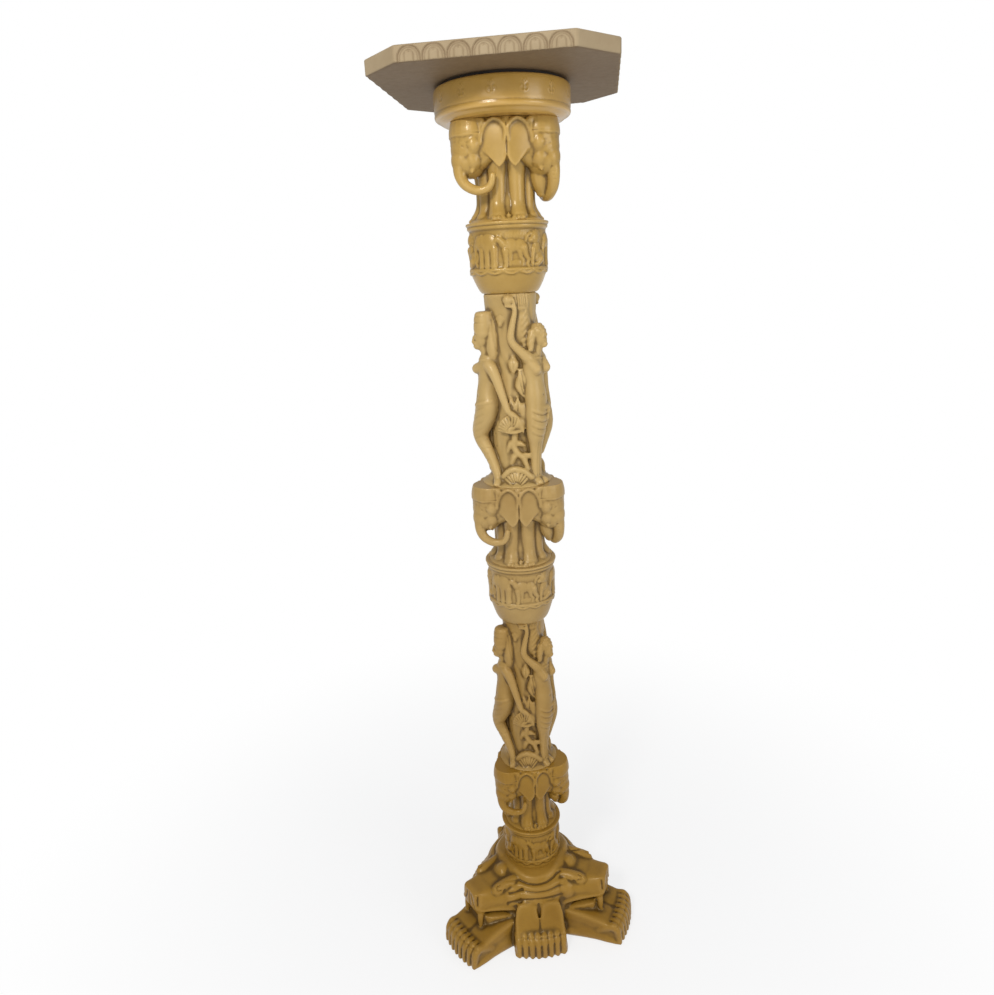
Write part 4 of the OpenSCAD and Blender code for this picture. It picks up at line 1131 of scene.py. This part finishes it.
def slabOutline():
    # Points round the board with rounded corners: place, outward direction, distance along a long edge
    s = slabSizes
    flat = s["half"] - s["cut"]
    corners = [spin(90 * k) @ Vector((s["half"], y, 0)) for k in range(4) for y in (-flat, flat)]
    outline = []
    for i, corner in enumerate(corners):
        before, after = corners[i - 1], corners[(i + 1) % 8]
        a, b = (before - corner).normalized(), (after - corner).normalized()
        back = s["corner"] * math.tan((math.pi - a.angle(b)) / 2)
        outA, outB = Vector((-a.y, a.x, 0)), Vector((b.y, -b.x, 0))
        for t in np.linspace(0, 1, 7):
            out = outA.lerp(outB, t).normalized()
            centre = corner + a * back - outA * s["corner"]
            outline.append((centre + out * s["corner"], out, None))
        long = i % 2 == 0
        start, end = corner + b * back, after - b * back
        count = int((end - start).length / (0.75 if long else 6))
        for t in np.linspace(0, 1, count, endpoint=False)[1:]:
            place = start.lerp(end, t)
            outline.append((place, outB, (place - (corner + after) / 2).dot(b) if long else None))
    return outline


def slabBoard():
    s = slabSizes
    t = s["thick"]
    outline = slabOutline()
    # inset and height down the edge, from the top face round to the underside, and pull to the centre
    rim = [(6, t), (2.2, t - 0.05), (1.1, t - 0.45), (0.35, t - 1.1), (0, t - 1.9)]
    rim += [(0, z) for z in np.linspace(t - 2.5, 1.5, 27)]
    rim += [(0.1, 0.9), (0.45, 0.35), (1.1, 0.05), (6, 0)]
    pulls = [0.95, 0.8, 0.6, 0.4, 0.2, 0]
    profile = [(*rim[0], pull) for pull in reversed(pulls)] + [(*place, 1) for place in rim]
    profile += [(*rim[-1], pull) for pull in pulls]
    rows = len(profile)
    bm = bmesh.new()
    bmesh.ops.create_grid(bm, x_segments=len(outline), y_segments=rows - 1, size=0.5)
    hollow = bm.verts.layers.float.new("hollow")
    for v in bm.verts:
        i, row = round((v.co.x + 0.5) * len(outline)), round((0.5 - v.co.y) * (rows - 1))
        place, out, along = outline[i % len(outline)]
        inset, z, pull = profile[row]
        dent = petalDepth(along, z) if along is not None and inset < 2 else 0
        # petal lines take the brown wash, and the whole underside takes painted shade
        v[hollow] = max(min(1, max(0, dent - 0.4) * 0.35), 0.6 * (z < 0.2))
        v.co = (place - out * (inset + dent)) * pull
        v.co.z = z
    bmesh.ops.remove_doubles(bm, verts=bm.verts[:], dist=0.001)
    bmesh.ops.recalc_face_normals(bm, faces=bm.faces[:])
    for face in bm.faces:
        face.smooth = True
    return asMesh("slabBoard", bm)


board = placeCasting(slabBoard(), "slabBoard", "top_slab", "slabResin", turn=slabSizes["turn"])
print("slab board with", len(board.data.polygons), "faces")

# Collar under the slab; sizes are those of the CAD collar
collarSizes = {
    "voxel": 1.0,
    "height": 41.5,
    "band": 88.4,
    "profile": [(7, 0), (76, 0), (80, 2), (84.5, 5.3), (86, 5.6), (87.7, 6.8), (88.4, 9), (88.2, 11.4),
        (87.6, 12.4), (87.9, 13.4), (88.3, 14.2), (88.4, 16), (88.4, 35.6), (88, 38.6), (87.2, 40.2),
        (85.6, 41.2), (83.6, 41.5), (81.4, 41), (81, 39.5), (17, 39.5), (17, 14), (7, 14), (7, 0)],
    "motifs": 14,
    "first": -98,
}


def collarRing():
    s = collarSizes
    heap = Heap()
    heap.lathe(s["profile"], steps=180)
    clay = Clay(heap, s["voxel"], s["height"], smooth=1)
    r = s["band"]
    for k in range(s["motifs"]):
        middle = s["first"] + 360 / s["motifs"] * k
        # small flower on a stem between two curled leaves
        lines = [[(0, 20), (0.3, 25), (0, 29)]]
        for side in sides:
            lines.append([(0, 21), (side * 3, 20.5), (side * 5.5, 23), (side * 5, 26), (side * 3, 26)])
            lines.append([(side * 0.8, 29), (side * 3.4, 31.5), (side * 2.4, 34), (0, 32)])
        for line in lines:
            path = [at(middle + math.degrees(x / r), (r, 0, z))[0] for x, z in line]
            clay.stroke(path, 0.7, 0.32)
        clay.stroke(at(middle, (r, 0, 31)), 1.2, 0.4)
    return clay.finish("collarRing")


placeCasting(collarRing(), "collarRing", "collar", "collarResin")
